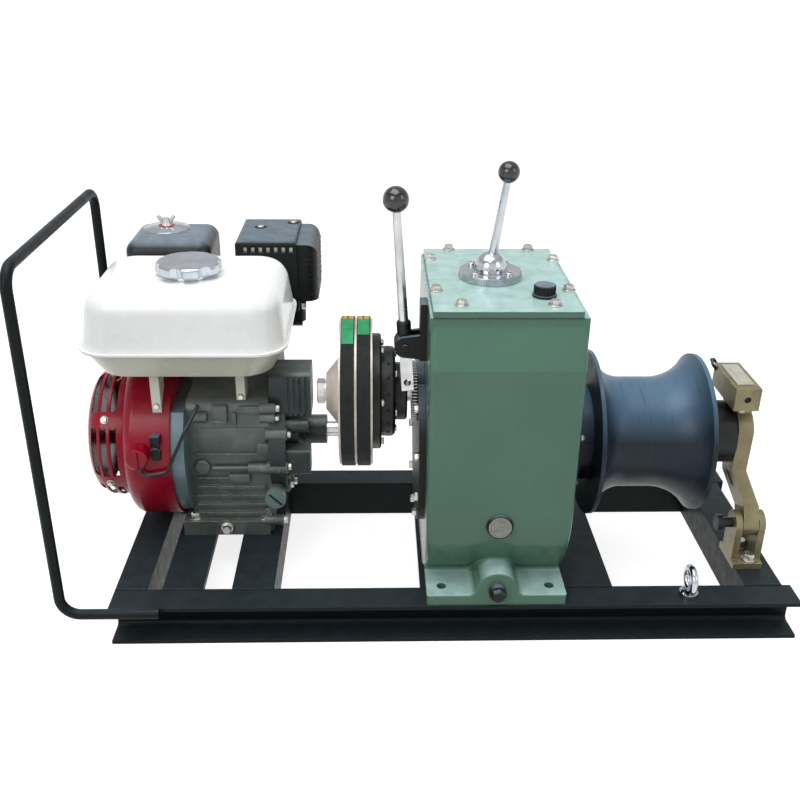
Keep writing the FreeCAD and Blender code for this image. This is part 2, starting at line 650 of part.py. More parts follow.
# Engine
fan_end = fan_start + fan_width
case_start = fan_end + flange_plate_width
cover_start = engine_base_start + engine_base_length + 4
foot_top = deck + engine_base_height
fan_housing = new_body("fan_housing", 0, crank_y, crank_z)
turned(fan_housing, [
    (fan_start, 0), (fan_start, fan_radius - fan_round),
    (fan_start + fan_round, fan_radius - fan_round, fan_round),
    (fan_start + fan_round, fan_radius), (fan_end, fan_radius), (fan_end, 0)])
recoil_cover = new_body("recoil_cover", fan_start, crank_y, crank_z,
                        Rotation(Vector(1, 0, 0), recoil_turn.value))
turned(recoil_cover, [
    (-recoil_depth, 0), (-recoil_depth, recoil_radius - recoil_round),
    (-recoil_depth + recoil_round, recoil_radius - recoil_round, recoil_round),
    (-recoil_depth + recoil_round, recoil_radius), (0, recoil_radius), (0, 0)])
recoil_inside = recoil_radius - recoil_wall
turned(recoil_cover, [
    (-recoil_depth + recoil_wall, 0), (-recoil_depth + recoil_wall, recoil_radius
                                       - recoil_round),
    (-recoil_depth + recoil_round, recoil_radius - recoil_round,
     recoil_round - recoil_wall),
    (-recoil_depth + recoil_round, recoil_inside), (1, recoil_inside), (1, 0)], cut=True)
for number in range(3):
    slot_end = -recoil_slot_first - recoil_slot_pitch * number
    slot = turned(recoil_cover, [
        (slot_end - recoil_slot_width, recoil_radius - 18),
        (slot_end - recoil_slot_width, recoil_radius + 1),
        (slot_end, recoil_radius + 1), (slot_end, recoil_radius - 18)],
        cut=True, angle=recoil_slot_span)
    ring_of(recoil_cover, slot, recoil_groups)
back_flange = new_body("back_flange", 0, crank_y, crank_z)
turned(back_flange, [
    (fan_end, 0), (fan_end, flange_plate_radius), (case_start, flange_plate_radius),
    (case_start, 0)])
prism(back_flange, "x", fan_end - 1, case_start + 1, [[
    (-flange_plate_radius - 1, flange_lift), (flange_plate_radius + 1, flange_lift),
    (flange_plate_radius + 1, flange_plate_radius + 1),
    (-flange_plate_radius - 1, flange_plate_radius + 1)]], cut=True)

tilt_cos = cosine(cylinder_tilt)
tilt_sin = sine(cylinder_tilt)
joint_y = crank_y + tilt_cos * cylinder_start
joint_z = crank_z + tilt_sin * cylinder_start
slope = tilt_sin / tilt_cos
joint_low = joint_z - fin_width / 2 * tilt_cos
crankcase = new_body("crankcase")
prism(crankcase, "x", case_start, cover_start, [[
    (crankcase_front, deck + 1), (crankcase_front, crankcase_top - crankcase_round),
    (crankcase_front + crankcase_round, crankcase_top - crankcase_round,
     crankcase_round),
    (crankcase_front + crankcase_round, crankcase_top),
    (joint_y - (crankcase_top - joint_z) * slope, crankcase_top),
    (joint_y + fin_width / 2 * tilt_sin, joint_low),
    (crankcase_front + crankcase_depth, deck + 1)]])
prism(crankcase, "z", deck, foot_top,
      [box(engine_base_start, engine_base_front, engine_base_start + engine_base_length,
           engine_base_front + engine_base_depth)])
prism(crankcase, "x", engine_base_start - 1, case_start,
      circles=[(crank_y, crank_z, flange_plate_radius + seat_gap)], cut=True)
prism(crankcase, "x", engine_base_start - 1, fan_end,
      circles=[(crank_y, crank_z, fan_radius + running_gap)], cut=True)
rib_start = foot_top + 8
rib = prism(crankcase, "x", case_start + 6, cover_start - 8,
            [box(crankcase_front - rib_depth, rib_start, crankcase_front + 1,
                 rib_start + rib_thickness)])
row_of(crankcase, rib, "Z_Axis", rib_pitch, rib_count)

crankcase_cover = new_body("crankcase_cover", 0, crank_y, crank_z)
cover_end = cover_start + cover_width
turned(crankcase_cover, [
    (cover_start, 0), (cover_start, cover_radius), (cover_end, cover_radius),
    (cover_end, crank_boss_radius), (cover_end + crank_boss_length, crank_boss_radius),
    (cover_end + crank_boss_length + 6, crank_nose_radius),
    (cover_end + crank_boss_length + crank_nose_length, crank_nose_radius),
    (cover_end + crank_boss_length + crank_nose_length, crankshaft_radius + running_gap),
    (cover_end - 5, crankshaft_radius + running_gap), (cover_end - 5, 0)])

prism(crankcase_cover, "x", cover_start + 2, cover_end + gear_case_reach,
      [rounded_box(-64, 46, -10, 106, as_size(9))])
flute = prism(crankcase_cover, "x", cover_end + 4, cover_end + 4 + flute_width,
              [box(-65, 50, -64 + flute_depth, 102)], cut=True)
row_of(crankcase_cover, flute, "X_Axis", flute_pitch, flute_count)
prism(crankcase_cover, "x", cover_start + 2, cover_end + gear_case_reach - 4,
      circles=[(-58, 34, 9)])
prism(crankcase_cover, "x", cover_start + 2, cover_end + gear_case_reach - 2,
      [rounded_box(-74, -28, -46, 6, as_size(5))])

tilted = Rotation(Vector(1, 0, 0), cylinder_tilt.value)
cylinder = new_body("cylinder", cylinder_offset, crank_y, crank_z, tilted)
head_start = cylinder_start + cylinder_length
prism(cylinder, "y", cylinder_start, head_start, circles=[(0, 0, cylinder_bore_wall / 2)])
fin = prism(cylinder, "y", cylinder_start + 10, cylinder_start + 10 + fin_thickness,
            [box(-fin_width / 2, -fin_width / 2, fin_width / 2, fin_width / 2)])
row_of(cylinder, fin, "Y_Axis", fin_pitch, fin_count)
cylinder_head = new_body("cylinder_head", cylinder_offset, crank_y, crank_z, tilted)
head_end = head_start + head_length
prism(cylinder_head, "y", head_start, head_end,
      [rounded_box(-head_width / 2, -head_width / 2, head_width / 2, head_width / 2,
                   as_size(14))])
valve_cover = new_body("valve_cover", cylinder_offset, crank_y, crank_z, tilted)
prism(valve_cover, "y", head_end, head_end + valve_cover_length,
      [rounded_box(-valve_cover_width / 2, -valve_cover_width / 2,
                   valve_cover_width / 2, valve_cover_width / 2, as_size(12))])

shroud_in = head_width / 2
shroud_out = shroud_in + shroud_wall
shroud_end = head_start + shroud_lap
shroud = new_body("cylinder_shroud", cylinder_offset, crank_y, crank_z, tilted)
prism(shroud, "x", case_start - cylinder_offset, shroud_out, [[
    (cylinder_start - 6, shroud_in), (shroud_end, shroud_in),
    (shroud_end, shroud_out), (cylinder_start - 6, shroud_out)]])
prism(shroud, "x", shroud_in, shroud_out, [[
    (cylinder_start + 6, -fin_width / 2), (shroud_end, -fin_width / 2),
    (shroud_end, shroud_in + 1), (cylinder_start + 6, shroud_in + 1)]])
elbow_y = muffler_front + elbow_inset - crank_y
elbow_z = muffler_bottom - elbow_drop - crank_z
prism(shroud, "x", shroud_in - 1, shroud_out + 1,
      circles=[(elbow_y * tilt_cos + elbow_z * tilt_sin,
                elbow_z * tilt_cos - elbow_y * tilt_sin, elbow_radius + 2)], cut=True)

tank_x0 = -tank_left
tank_x1 = tank_x0 + tank_length
tank_y1 = tank_front + tank_depth
tank_bottom = tank_seam - tank_lower
tank_top = tank_seam + tank_upper


def tank_section(inset, lip=0):
    inset = as_size(inset) - lip
    return rounded_box(tank_x0 + inset, tank_front + inset, tank_x1 - inset,
                       tank_y1 - inset, tank_corner)


fuel_tank = new_body("fuel_tank")
prism(fuel_tank, "z", tank_seam - 1.5, tank_seam + 1.5, [tank_section(0, tank_lip)])
loft(fuel_tank, "z", [
    (tank_seam, tank_section(0)),
    (tank_top, rounded_box(tank_x0 + tank_left_taper, tank_front + tank_front_taper,
                           tank_x1 - tank_right_taper, tank_y1 - tank_rear_slope,
                           tank_corner))])
round_edges(fuel_tank, tank_crown,
            lambda middle, edge: abs(middle.z - tank_top.value) < 0.01)
loft(fuel_tank, "z", [(tank_seam, tank_section(0)),
                      (tank_bottom, tank_section(tank_lower_taper))])
prism(fuel_tank, "z", crank_z, tank_bottom + 2,
      [box(strap_left, strap_front, strap_left + strap_width, strap_front + strap_depth)])
prism(fuel_tank, "z", crankcase_top, tank_bottom + 2,
      [box(strap_right, crankcase_front + 6, strap_right + strap_width,
           crankcase_front + 6 + strap_depth)])
prism(fuel_tank, "x", strap_left - 1, strap_left + strap_width + 1,
      circles=[(crank_y, crank_z, fan_radius)], cut=True)
fuel_cap = new_body("fuel_cap", cap_x, cap_y, tank_top)
prism(fuel_cap, "z", 0, cap_neck_height, circles=[(0, 0, cap_neck_radius)])
prism(fuel_cap, "z", cap_neck_height, cap_neck_height + cap_height,
      circles=[(0, 0, cap_radius)])
round_edges(fuel_cap, cap_crown,
            lambda middle, edge: middle.z > (cap_neck_height + cap_height).value - 0.1)
lobe = prism(fuel_cap, "z", cap_neck_height - 1, cap_neck_height + cap_height + 1,
             circles=[(cap_radius + cap_scallop - cap_scallop_depth, 0, cap_scallop)],
             cut=True)
ring_of(fuel_cap, lobe, cap_lobes, "Z_Axis")

air_cleaner = new_body("air_cleaner")
cleaner_x0 = -cleaner_left
prism(air_cleaner, "z", cleaner_bottom, cleaner_bottom + cleaner_height,
      [box(cleaner_x0, cleaner_front, cleaner_x0 + cleaner_length,
           cleaner_front + cleaner_depth)])
round_edges(air_cleaner, cleaner_round,
            lambda middle, edge: middle.z > cleaner_bottom.value + 1)
head_left = cylinder_offset - head_width / 2
carburettor = new_body("carburettor")
prism(carburettor, "z", cleaner_bottom - 48, cleaner_bottom,
      [box(head_left - 44, cleaner_front + 22, head_left, cleaner_front + 66)])
muffler = new_body("muffler")
muffler_end = muffler_start + muffler_length
muffler_top = muffler_bottom + muffler_height
muffler_rear = muffler_front + muffler_depth
shield_end = muffler_start + shield_length
prism(muffler, "z", muffler_bottom, muffler_top - 6,
      [box(muffler_start + 4, muffler_front + 5, muffler_end, muffler_rear - 5)])
round_edges(muffler, muffler_round,
            lambda middle, edge: abs(middle.x - muffler_end.value) < 0.1
            and middle.z > muffler_bottom.value + 1)
prism(muffler, "z", muffler_bottom + 6, muffler_top,
      [box(muffler_start, muffler_front, shield_end, muffler_rear)])
round_edges(muffler, shield_round,
            lambda middle, edge: abs(middle.z - muffler_top.value) < 0.1)
shield_slot = prism(muffler, "y", muffler_front - 1, muffler_front + 4,
                    [box(muffler_start + 10, muffler_top - 15,
                         muffler_start + 10 + shield_slot_width, muffler_top - 8)],
                    cut=True)
row_of(muffler, shield_slot, "X_Axis", shield_slot_pitch, shield_slot_count)
head_right = cylinder_offset + head_width / 2
prism(muffler, "x", head_right, head_right + 34,
      circles=[(muffler_front + elbow_inset, muffler_bottom - elbow_drop, elbow_radius)])
prism(muffler, "z", muffler_bottom - 40, muffler_bottom + 1,
      circles=[(head_right + 26, muffler_front + elbow_inset, elbow_radius)])

# Belt drive, clutch
pulley_end = pulley_start + pulley_width
groove_margin = (pulley_width - groove_pitch) / 2


def pulley_grooves(body, radius):
    for number in (0, 1):
        middle = pulley_start + groove_margin + groove_pitch * number
        turned(body, [
            (middle - groove_width / 2, radius + 1),
            (middle - groove_width / 2, radius),
            (middle - groove_floor / 2, radius - groove_depth),
            (middle + groove_floor / 2, radius - groove_depth),
            (middle + groove_width / 2, radius),
            (middle + groove_width / 2, radius + 1)], cut=True)


groove_slope = (groove_width - groove_floor) / groove_depth
belt_width = groove_width + groove_slope * belt_proud - belt_gap * 2
belt_bevel = groove_slope * (belt_height - belt_edge) / 2
crankshaft = new_body("crankshaft", 0, crank_y, crank_z)
turned(crankshaft, [
    (cover_end - 4, 0), (cover_end - 4, crankshaft_radius),
    (pulley_end + 2, crankshaft_radius), (pulley_end + 2, 0)])
engine_pulley = new_body("engine_pulley", 0, crank_y, crank_z)
turned(engine_pulley, [
    (pulley_start, crankshaft_radius), (pulley_start, engine_pulley_radius),
    (pulley_end, engine_pulley_radius), (pulley_end, crankshaft_radius)])
pulley_grooves(engine_pulley, engine_pulley_radius)

clutch_pulley = new_body("clutch_pulley", 0, input_y, input_z)
turned(clutch_pulley, [
    (pulley_start - pulley_hub_length, input_shaft_radius),
    (pulley_start - pulley_hub_length, pulley_hub_radius),
    (pulley_start, pulley_cone_radius), (pulley_start, pulley_radius),
    (pulley_end, pulley_radius),
    (pulley_end, input_shaft_radius)])
pulley_grooves(clutch_pulley, pulley_radius)


def belt_loop(body, place, offset):
    """Sketch the loop that runs round both pulleys at an offset from their rims."""
    sketch = new_sketch(body, "YZ_Plane", place)
    across = input_y.value - crank_y.value
    upward = input_z.value - crank_z.value
    heading = math.atan2(upward, across)
    wheels = ((crank_y, crank_z, engine_pulley_radius + offset),
              (input_y, input_z, pulley_radius + offset))
    lean = math.acos((wheels[1][2].value - wheels[0][2].value)
                     / math.hypot(across, upward))
    spans = ((heading + lean, heading - lean), (heading - lean, heading + lean))
    touches = []
    for (y, z, radius), span in zip(wheels, spans):
        circle = Part.Circle(Vector(y.value, z.value, 0), Vector(0, 0, 1), radius.value)
        arc = sketch.addGeometry(Part.ArcOfCircle(circle, *span))
        pin_point(sketch, arc, 3, y, z)
        hold_radius(sketch, arc, radius)
        for angle in span:
            touches.append(Vector(y.value + radius.value * math.cos(angle),
                                  z.value + radius.value * math.sin(angle), 0))
    sketch.addGeometry(Part.LineSegment(touches[1], touches[2]))
    sketch.addGeometry(Part.LineSegment(touches[3], touches[0]))
    for arc, arc_end, line, line_end in ((0, 2, 2, 1), (1, 1, 2, 2), (1, 2, 3, 1),
                                         (0, 1, 3, 2)):
        sketch.addConstraint(
            Sketcher.Constraint("Tangent", arc, arc_end, line, line_end))
    return sketch


def belt(label, number):
    """A V-belt: a band round both pulleys whose inner side narrows to fit the groove."""
    body = new_body(label)
    middle = pulley_start + groove_margin + groove_pitch * number
    inner = belt_proud - belt_height
    band = body.newObject("PartDesign::Pad", "band")
    band.Profile = belt_loop(body, middle - belt_width / 2, belt_proud)
    bind(band, "Length", belt_width)
    hollow = body.newObject("PartDesign::Pocket", "hollow")
    hollow.Profile = belt_loop(body, middle - belt_width / 2, inner)
    bind(hollow, "Length", belt_width)
    hollow.Reversed = True
    for side in (-1, 1):
        flank = body.newObject("PartDesign::SubtractiveLoft", "flank")
        flank.Profile = belt_loop(body, middle + belt_width / 2 * side,
                                  belt_proud - belt_edge)
        flank.Sections = [belt_loop(body, middle + (belt_width / 2 - belt_bevel) * side,
                                    inner)]
        flank.Ruled = True
        body.Tip = flank
        doc.recompute()
    return body


belt("drive_belt_left", 0)
belt("drive_belt_right", 1)

friction_disc = new_body("friction_disc", 0, input_y, input_z)
disc_end = pulley_end + friction_disc_width
turned(friction_disc, [
    (pulley_end, input_shaft_radius), (pulley_end, friction_disc_radius),
    (disc_end - 2, friction_disc_radius), (disc_end, friction_disc_radius - 2),
    (disc_end, input_shaft_radius)])
pressure_plate = new_body("pressure_plate", 0, input_y, input_z)
plate_end = disc_end + pressure_plate_width
hub_end = plate_end + release_hub_length
turned(pressure_plate, [
    (disc_end, input_shaft_radius), (disc_end, pressure_plate_radius),
    (plate_end - 3, pressure_plate_radius), (plate_end, pressure_plate_radius - 3),
    (plate_end, release_hub_radius), (hub_end - 2, release_hub_radius),
    (hub_end, release_hub_radius - 2), (hub_end, input_shaft_radius)])
input_shaft = new_body("input_shaft", 0, input_y, input_z)
turned(input_shaft, [
    (pulley_start - shaft_stub, 0), (pulley_start - shaft_stub, input_shaft_radius),
    (gearbox_start - 0.5, input_shaft_radius), (gearbox_start - 0.5, 0)])

# Gearbox
gearbox_end = gearbox_start + gearbox_length
belly_front = gearbox_y - gearbox_half_depth
belly_rear = gearbox_y + gearbox_half_depth
neck_front = gearbox_y - gearbox_neck_half
neck_rear = gearbox_y + gearbox_neck_half
flange_under = gearbox_top - gearbox_flange
belly_drop = gearbox_belly_z - deck
belly_half_base = root_of(gearbox_half_depth * gearbox_half_depth
                          - belly_drop * belly_drop)
gearbox_housing = new_body("gearbox_housing")
prism(gearbox_housing, "x", gearbox_start, gearbox_end, [[
    (gearbox_y - belly_half_base, deck),
    (gearbox_y, gearbox_belly_z, gearbox_half_depth),
    (belly_front, gearbox_belly_z), (belly_front, gearbox_shoulder),
    (neck_front, flange_under), (neck_front, gearbox_top),
    (neck_rear, gearbox_top), (neck_rear, flange_under),
    (belly_rear, gearbox_shoulder), (belly_rear, gearbox_belly_z),
    (gearbox_y, gearbox_belly_z, gearbox_half_depth),
    (gearbox_y + belly_half_base, deck)]])
round_edges(gearbox_housing, gearbox_round,
            lambda middle, edge: edge.BoundBox.XLength < 0.1
            and deck.value + 1 < middle.z < gearbox_shoulder.value + 30)
foot_front = belly_front - foot_overhang
foot_rear = belly_rear + foot_overhang
prism(gearbox_housing, "z", deck, deck + foot_height,
      [box(gearbox_start + 2, foot_front, gearbox_end - 2, foot_front + foot_depth),
       box(gearbox_start + 2, foot_rear - foot_depth, gearbox_end - 2, foot_rear)])
hump_x = gearbox_start + gearbox_length / 2
foot_upper = deck + foot_height
flare_z = foot_upper + foot_hump_flare
flare_rise = flare_z - drain_plug_z
flare_reach = foot_hump_radius + foot_hump_flare
flare_run = root_of(flare_reach * flare_reach - flare_rise * flare_rise)
flare_share = foot_hump_radius / flare_reach
hump_side = flare_run * flare_share
hump_side_z = drain_plug_z + flare_rise * flare_share
prism(gearbox_housing, "y", foot_front, belly_front + 40, [[
    (hump_x - flare_run, deck), (hump_x - flare_run, foot_upper),
    (hump_x - flare_run, flare_z, foot_hump_flare), (hump_x - hump_side, hump_side_z),
    (hump_x, drain_plug_z, foot_hump_radius), (hump_x + hump_side, hump_side_z),
    (hump_x + flare_run, flare_z, foot_hump_flare), (hump_x + flare_run, foot_upper),
    (hump_x + flare_run, deck)]])
round_edges(gearbox_housing, foot_web,
            lambda middle, edge: abs(middle.z - foot_upper.value) < 0.1
            and foot_front.value + 30 < middle.y < foot_rear.value - 30
            and edge.BoundBox.XLength > 0.8 * gearbox_length.value)
round_edges(gearbox_housing, foot_round,
            lambda middle, edge: min(abs(middle.y - foot_front.value),
                                     abs(middle.y - foot_rear.value)) < 0.1
            and middle.z > deck.value + 1)
foot_holes = [
    (gearbox_start + foot_hole_margin, foot_front + foot_hole_inset, foot_hole_radius),
    (gearbox_end - foot_hole_margin, foot_front + foot_hole_inset, foot_hole_radius),
    (gearbox_start + foot_hole_margin, foot_rear - foot_hole_inset, foot_hole_radius),
    (gearbox_end - foot_hole_margin, foot_rear - foot_hole_inset, foot_hole_radius)]
prism(gearbox_housing, "z", deck - 1, foot_upper + 1, circles=foot_holes, cut=True)
gearbox_cover = new_body("gearbox_cover")
cover_left = gearbox_start + 3
prism(gearbox_cover, "z", gearbox_top, gearbox_top + cover_plate_thickness,
      [box(cover_left, gearbox_y - cover_plate_depth / 2,
           cover_left + cover_plate_length, gearbox_y + cover_plate_depth / 2)])
cover_top = gearbox_top + cover_plate_thickness

# Bull wheel, shaft
wheel_end = wheel_start + wheel_width
bull_wheel = new_body("bull_wheel", wheel_start, gearbox_y, output_z)
waist_end = wheel_waist_start + wheel_waist_width


def flare_radius(run, rise):
    """Radius of an arc that leaves the waist level and ends after run, rise."""
    return (run * run + rise * rise) / (rise * 2)


left_run = wheel_waist_start - wheel_rim
left_rise = wheel_left_radius - wheel_waist_radius
left_flare = flare_radius(left_run, left_rise)
right_run = wheel_width - wheel_rim - waist_end
right_rise = wheel_right_radius - wheel_waist_radius
right_flare = flare_radius(right_run, right_rise)
turned(bull_wheel, [
    (0, shaft_radius), (0, wheel_left_radius), (wheel_rim, wheel_left_radius),
    (wheel_waist_start, wheel_waist_radius + left_flare, left_flare),
    (wheel_waist_start, wheel_waist_radius), (waist_end, wheel_waist_radius),
    (waist_end, wheel_waist_radius + right_flare, right_flare),
    (wheel_width - wheel_rim, wheel_right_radius), (wheel_width, wheel_right_radius),
    (wheel_width, shaft_radius)])
tail_start = wheel_end + tail_gap
arm_start = tail_start + tail_bearing_length
drum_shaft = new_body("drum_shaft", 0, gearbox_y, output_z)
hub_start = gearbox_end + right_cover_thickness
turned(drum_shaft, [
    (hub_start + 1, 0), (hub_start + 1, wheel_hub_radius),
    (wheel_start, wheel_hub_radius), (wheel_start, shaft_radius),
    (arm_start - 4, shaft_radius), (arm_start - 4, 0)])
right_cover = new_body("right_bearing_cover", 0, gearbox_y, output_z)
turned(right_cover, [
    (gearbox_end, 0), (gearbox_end, right_cover_radius), (hub_start, right_cover_radius),
    (hub_start, 0)])
left_cover = new_body("left_bearing_cover")
ring_start = gearbox_start - left_cover_thickness - input_cap_thickness
left_cover_start = gearbox_start - left_cover_thickness
prism(left_cover, "x", left_cover_start, gearbox_start,
      circles=[(gearbox_y, output_z - 9, left_cover_radius)])
prism(left_cover, "x", ring_start, gearbox_start,
      circles=[(input_y, input_z, input_cap_radius)])
prism(left_cover, "x", ring_start - 1, gearbox_start,
      circles=[(input_y, input_z, input_shaft_radius + 1)], cut=True)

breather_cap = new_body("breather_cap", breather_x, breather_y, cover_top)
prism(breather_cap, "z", 0, breather_height, circles=[(0, 0, breather_radius)])
gearbox_middle = gearbox_start + gearbox_length / 2
sight_glass = new_body("sight_glass")
prism(sight_glass, "y", belly_front - 4, belly_front,
      circles=[(gearbox_middle, sight_glass_z, sight_glass_radius)])
drain_plug = new_body("drain_plug")
prism(drain_plug, "y", foot_front - 7, foot_front,
      circles=[(gearbox_middle, drain_plug_z, drain_plug_radius)])

# Gear lever
ball_z = cover_top + shift_ball_lift
prism(gearbox_cover, "z", gearbox_top - 1, cover_top + 1,
      circles=[(shift_x, gearbox_y, shift_ball_radius + 1)], cut=True)
shift_flange = new_body("shift_flange", shift_x, gearbox_y, ball_z)
flange_low = -shift_ball_lift
flange_high = flange_low + shift_flange_height
socket = shift_ball_radius + running_gap
turned(shift_flange, [
    (flange_low, root_of(socket * socket - flange_low * flange_low)),
    (flange_low, shift_flange_radius), (flange_high, shift_flange_radius),
    (flange_high, root_of(socket * socket - flange_high * flange_high)),
    (0, 0, socket)], "Z_Axis")
lever_lean = Rotation(Vector(0, 1, 0), shift_lean.value)
shift_ball = new_body("shift_ball", shift_x, gearbox_y, ball_z, lever_lean)
turned(shift_ball, [(-shift_ball_radius, 0), (0, 0, shift_ball_radius),
                    (0, shift_ball_radius), (0, 0, shift_ball_radius),
                    (shift_ball_radius, 0)], "Z_Axis")
prism(shift_ball, "y", -shift_ball_radius, shift_ball_radius,
      circles=[(0, 0, shift_pin_radius + running_gap)], cut=True)
shift_pin = new_body("shift_pin", shift_x, gearbox_y, ball_z)
prism(shift_pin, "y", -shift_ball_radius + 1.5, shift_ball_radius - 1.5,
      circles=[(0, 0, shift_pin_radius)])
shift_lever = new_body("shift_lever", shift_x, gearbox_y, ball_z, lever_lean)
shift_tip_radius = shift_lever_radius - 1
shift_neck = shift_lever_length - shift_knob_radius - 2
shift_tip = shift_lever_length - shift_knob_radius / 2
shift_seat = shift_ball_radius - 5
turned(shift_lever, [
    (shift_seat, 0), (shift_seat, shift_lever_radius),
    (shift_neck, shift_tip_radius), (shift_tip, shift_tip_radius),
    (shift_tip, 0)], "Z_Axis")
prism(shift_ball, "z", shift_seat, shift_ball_radius + 1,
      circles=[(0, 0, shift_lever_radius)], cut=True)
shift_knob = new_body("shift_knob", shift_x, gearbox_y, ball_z, lever_lean)
turned(shift_knob, [
    (shift_lever_length - shift_knob_radius, 0),
    (shift_lever_length, 0, shift_knob_radius),
    (shift_lever_length, shift_knob_radius),
    (shift_lever_length, 0, shift_knob_radius),
    (shift_lever_length + shift_knob_radius, 0)], "Z_Axis")
prism(shift_knob, "z", shift_neck, shift_tip, circles=[(0, 0, shift_tip_radius)],
      cut=True)

# Clutch lever
clutch_rotation = Rotation(Vector(0, 1, 0), -clutch_lean.value)
clutch_lever = new_body("clutch_lever", clutch_pivot_x, clutch_lever_y, clutch_pivot_z,
                        clutch_rotation)
prism(clutch_lever, "y", -6, 6, [box(-7, -clutch_toe_length, 7, 10)])
clutch_tip_radius = clutch_lever_radius - 1
clutch_neck = clutch_lever_length - clutch_knob_radius - 2
clutch_tip = clutch_lever_length - clutch_knob_radius / 2
turned(clutch_lever, [
    (9, 0), (9, clutch_lever_radius), (clutch_neck, clutch_tip_radius),
    (clutch_tip, clutch_tip_radius), (clutch_tip, 0)], "Z_Axis")
prism(clutch_lever, "y", -7, 7,
      circles=[(0, 0, clutch_pin_radius + running_gap),
               (0, -clutch_toe_length + 10, 4)], cut=True)
clutch_knob = new_body("clutch_knob", clutch_pivot_x, clutch_lever_y, clutch_pivot_z,
                       clutch_rotation)
turned(clutch_knob, [
    (clutch_lever_length - clutch_knob_radius, 0),
    (clutch_lever_length, 0, clutch_knob_radius),
    (clutch_lever_length, clutch_knob_radius),
    (clutch_lever_length, 0, clutch_knob_radius),
    (clutch_lever_length + clutch_knob_radius, 0)], "Z_Axis")
prism(clutch_knob, "z", clutch_neck, clutch_tip, circles=[(0, 0, clutch_tip_radius)],
      cut=True)
clutch_bracket = new_body("clutch_bracket")
cheek = as_size(5)
cheek_gap = as_size(7.5)
prism(clutch_bracket, "x", gearbox_start - 8, gearbox_start,
      [box(clutch_lever_y - cheek_gap - cheek, clutch_pivot_z - 16,
           clutch_lever_y + cheek_gap + cheek, gearbox_top - 4)])
for near in (clutch_lever_y - cheek_gap - cheek, clutch_lever_y + cheek_gap):
    prism(clutch_bracket, "y", near, near + cheek, [
        [(gearbox_start - 7, clutch_pivot_z - 14), (gearbox_start - 7, clutch_pivot_z + 14),
         (clutch_pivot_x, clutch_pivot_z + 12), (clutch_pivot_x, clutch_pivot_z, 12),
         (clutch_pivot_x - 12, clutch_pivot_z), (clutch_pivot_x, clutch_pivot_z, 12),
         (clutch_pivot_x, clutch_pivot_z - 12)]])
prism(clutch_bracket, "y", clutch_lever_y - cheek_gap - cheek - 3,
      clutch_lever_y + cheek_gap + cheek + 3,
      circles=[(clutch_pivot_x, clutch_pivot_z, clutch_pin_radius)])

# Tail support
tail_bearing = new_body("tail_bearing", 0, gearbox_y, output_z)
turned(tail_bearing, [
    (tail_start, shaft_radius + running_gap), (tail_start, tail_bearing_radius - 3),
    (tail_start + 3, tail_bearing_radius), (arm_start, tail_bearing_radius),
    (arm_start, tail_spigot_radius), (arm_start + arm_thickness + 2, tail_spigot_radius),
    (arm_start + arm_thickness + 2, 0), (arm_start - 2, 0),
    (arm_start - 2, shaft_radius + running_gap)])
run_y = gearbox_y - hinge_y
run_z = output_z - hinge_z
arm_reach = root_of(run_y * run_y + run_z * run_z)
arm_lean = math.degrees(math.atan2(run_y.value, run_z.value))
arm_rotation = Rotation(Vector(1, 0, 0), -arm_lean)
saddle = tail_spigot_radius + saddle_gap
head = saddle + arm_rim
swing_arm = new_body("swing_arm", arm_start, hinge_y, hinge_z, arm_rotation)
prism(swing_arm, "x", 0, arm_thickness, [[
    (arm_foot_radius, arm_reach - saddle - 22), (arm_foot_radius, arm_reach - saddle - 3),
    (0, arm_reach - saddle), (0, arm_reach, saddle), (-saddle, arm_reach),
    (0, arm_reach, saddle), (0, arm_reach + saddle), (arm_lip, arm_reach + saddle),
    (arm_lip, arm_reach + head), (0, arm_reach + head), (0, arm_reach, head),
    (-head, arm_reach), (-arm_foot_radius, arm_reach - saddle - 22)]])
prism(swing_arm, "x", arm_offset, arm_offset + arm_thickness, [[
    (0, -arm_foot_radius), (0, 0, arm_foot_radius), (arm_foot_radius, 0),
    (arm_foot_radius, 22), (-arm_foot_radius, 22), (-arm_foot_radius, 0),
    (0, 0, arm_foot_radius)]])
loft(swing_arm, "z", [
    (21, box(arm_offset, -arm_foot_radius, arm_offset + arm_thickness,
             arm_foot_radius)),
    (arm_reach - saddle - 21, box(0, -arm_foot_radius, arm_thickness,
                                  arm_foot_radius))])
prism(swing_arm, "x", arm_offset - 1, arm_offset + arm_thickness + 1,
      circles=[(0, 0, hinge_pin_radius + running_gap)], cut=True)
prism(swing_arm, "x", -1, arm_offset + arm_thickness + 1,
      [rounded_box(-arm_slot_width / 2, arm_slot_place - arm_slot_length / 2,
                   arm_slot_width / 2, arm_slot_place + arm_slot_length / 2,
                   arm_slot_width / 2 - 0.1)], cut=True)

foot_start = arm_start + arm_offset
ear_left = foot_start - clevis_gap - clevis_ear
ear_right = foot_start + arm_thickness + clevis_gap
tail_clevis = new_body("tail_clevis")
prism(tail_clevis, "z", deck, deck + clevis_ear,
      [box(ear_left, hinge_y - clevis_depth / 2, ear_right + clevis_ear,
           hinge_y + clevis_depth / 2)])
for ear in (ear_left, ear_right):
    prism(tail_clevis, "x", ear, ear + clevis_ear, [[
        (hinge_y - 16, deck + 1), (hinge_y + 16, deck + 1), (hinge_y + 16, hinge_z),
        (hinge_y, hinge_z, 16), (hinge_y, hinge_z + 16), (hinge_y, hinge_z, 16),
        (hinge_y - 16, hinge_z)]])
prism(tail_clevis, "x", ear_left - 1, ear_right + clevis_ear + 1,
      circles=[(hinge_y, hinge_z, hinge_pin_radius)], cut=True)
hinge_pin = new_body("hinge_pin", 0, hinge_y, hinge_z)
turned(hinge_pin, [
    (ear_left - 20, 0), (ear_left - 20, 10), (ear_left - 14, 10),
    (ear_left - 14, hinge_pin_radius), (ear_right + clevis_ear + 3, hinge_pin_radius),
    (ear_right + clevis_ear + 3, 0)])
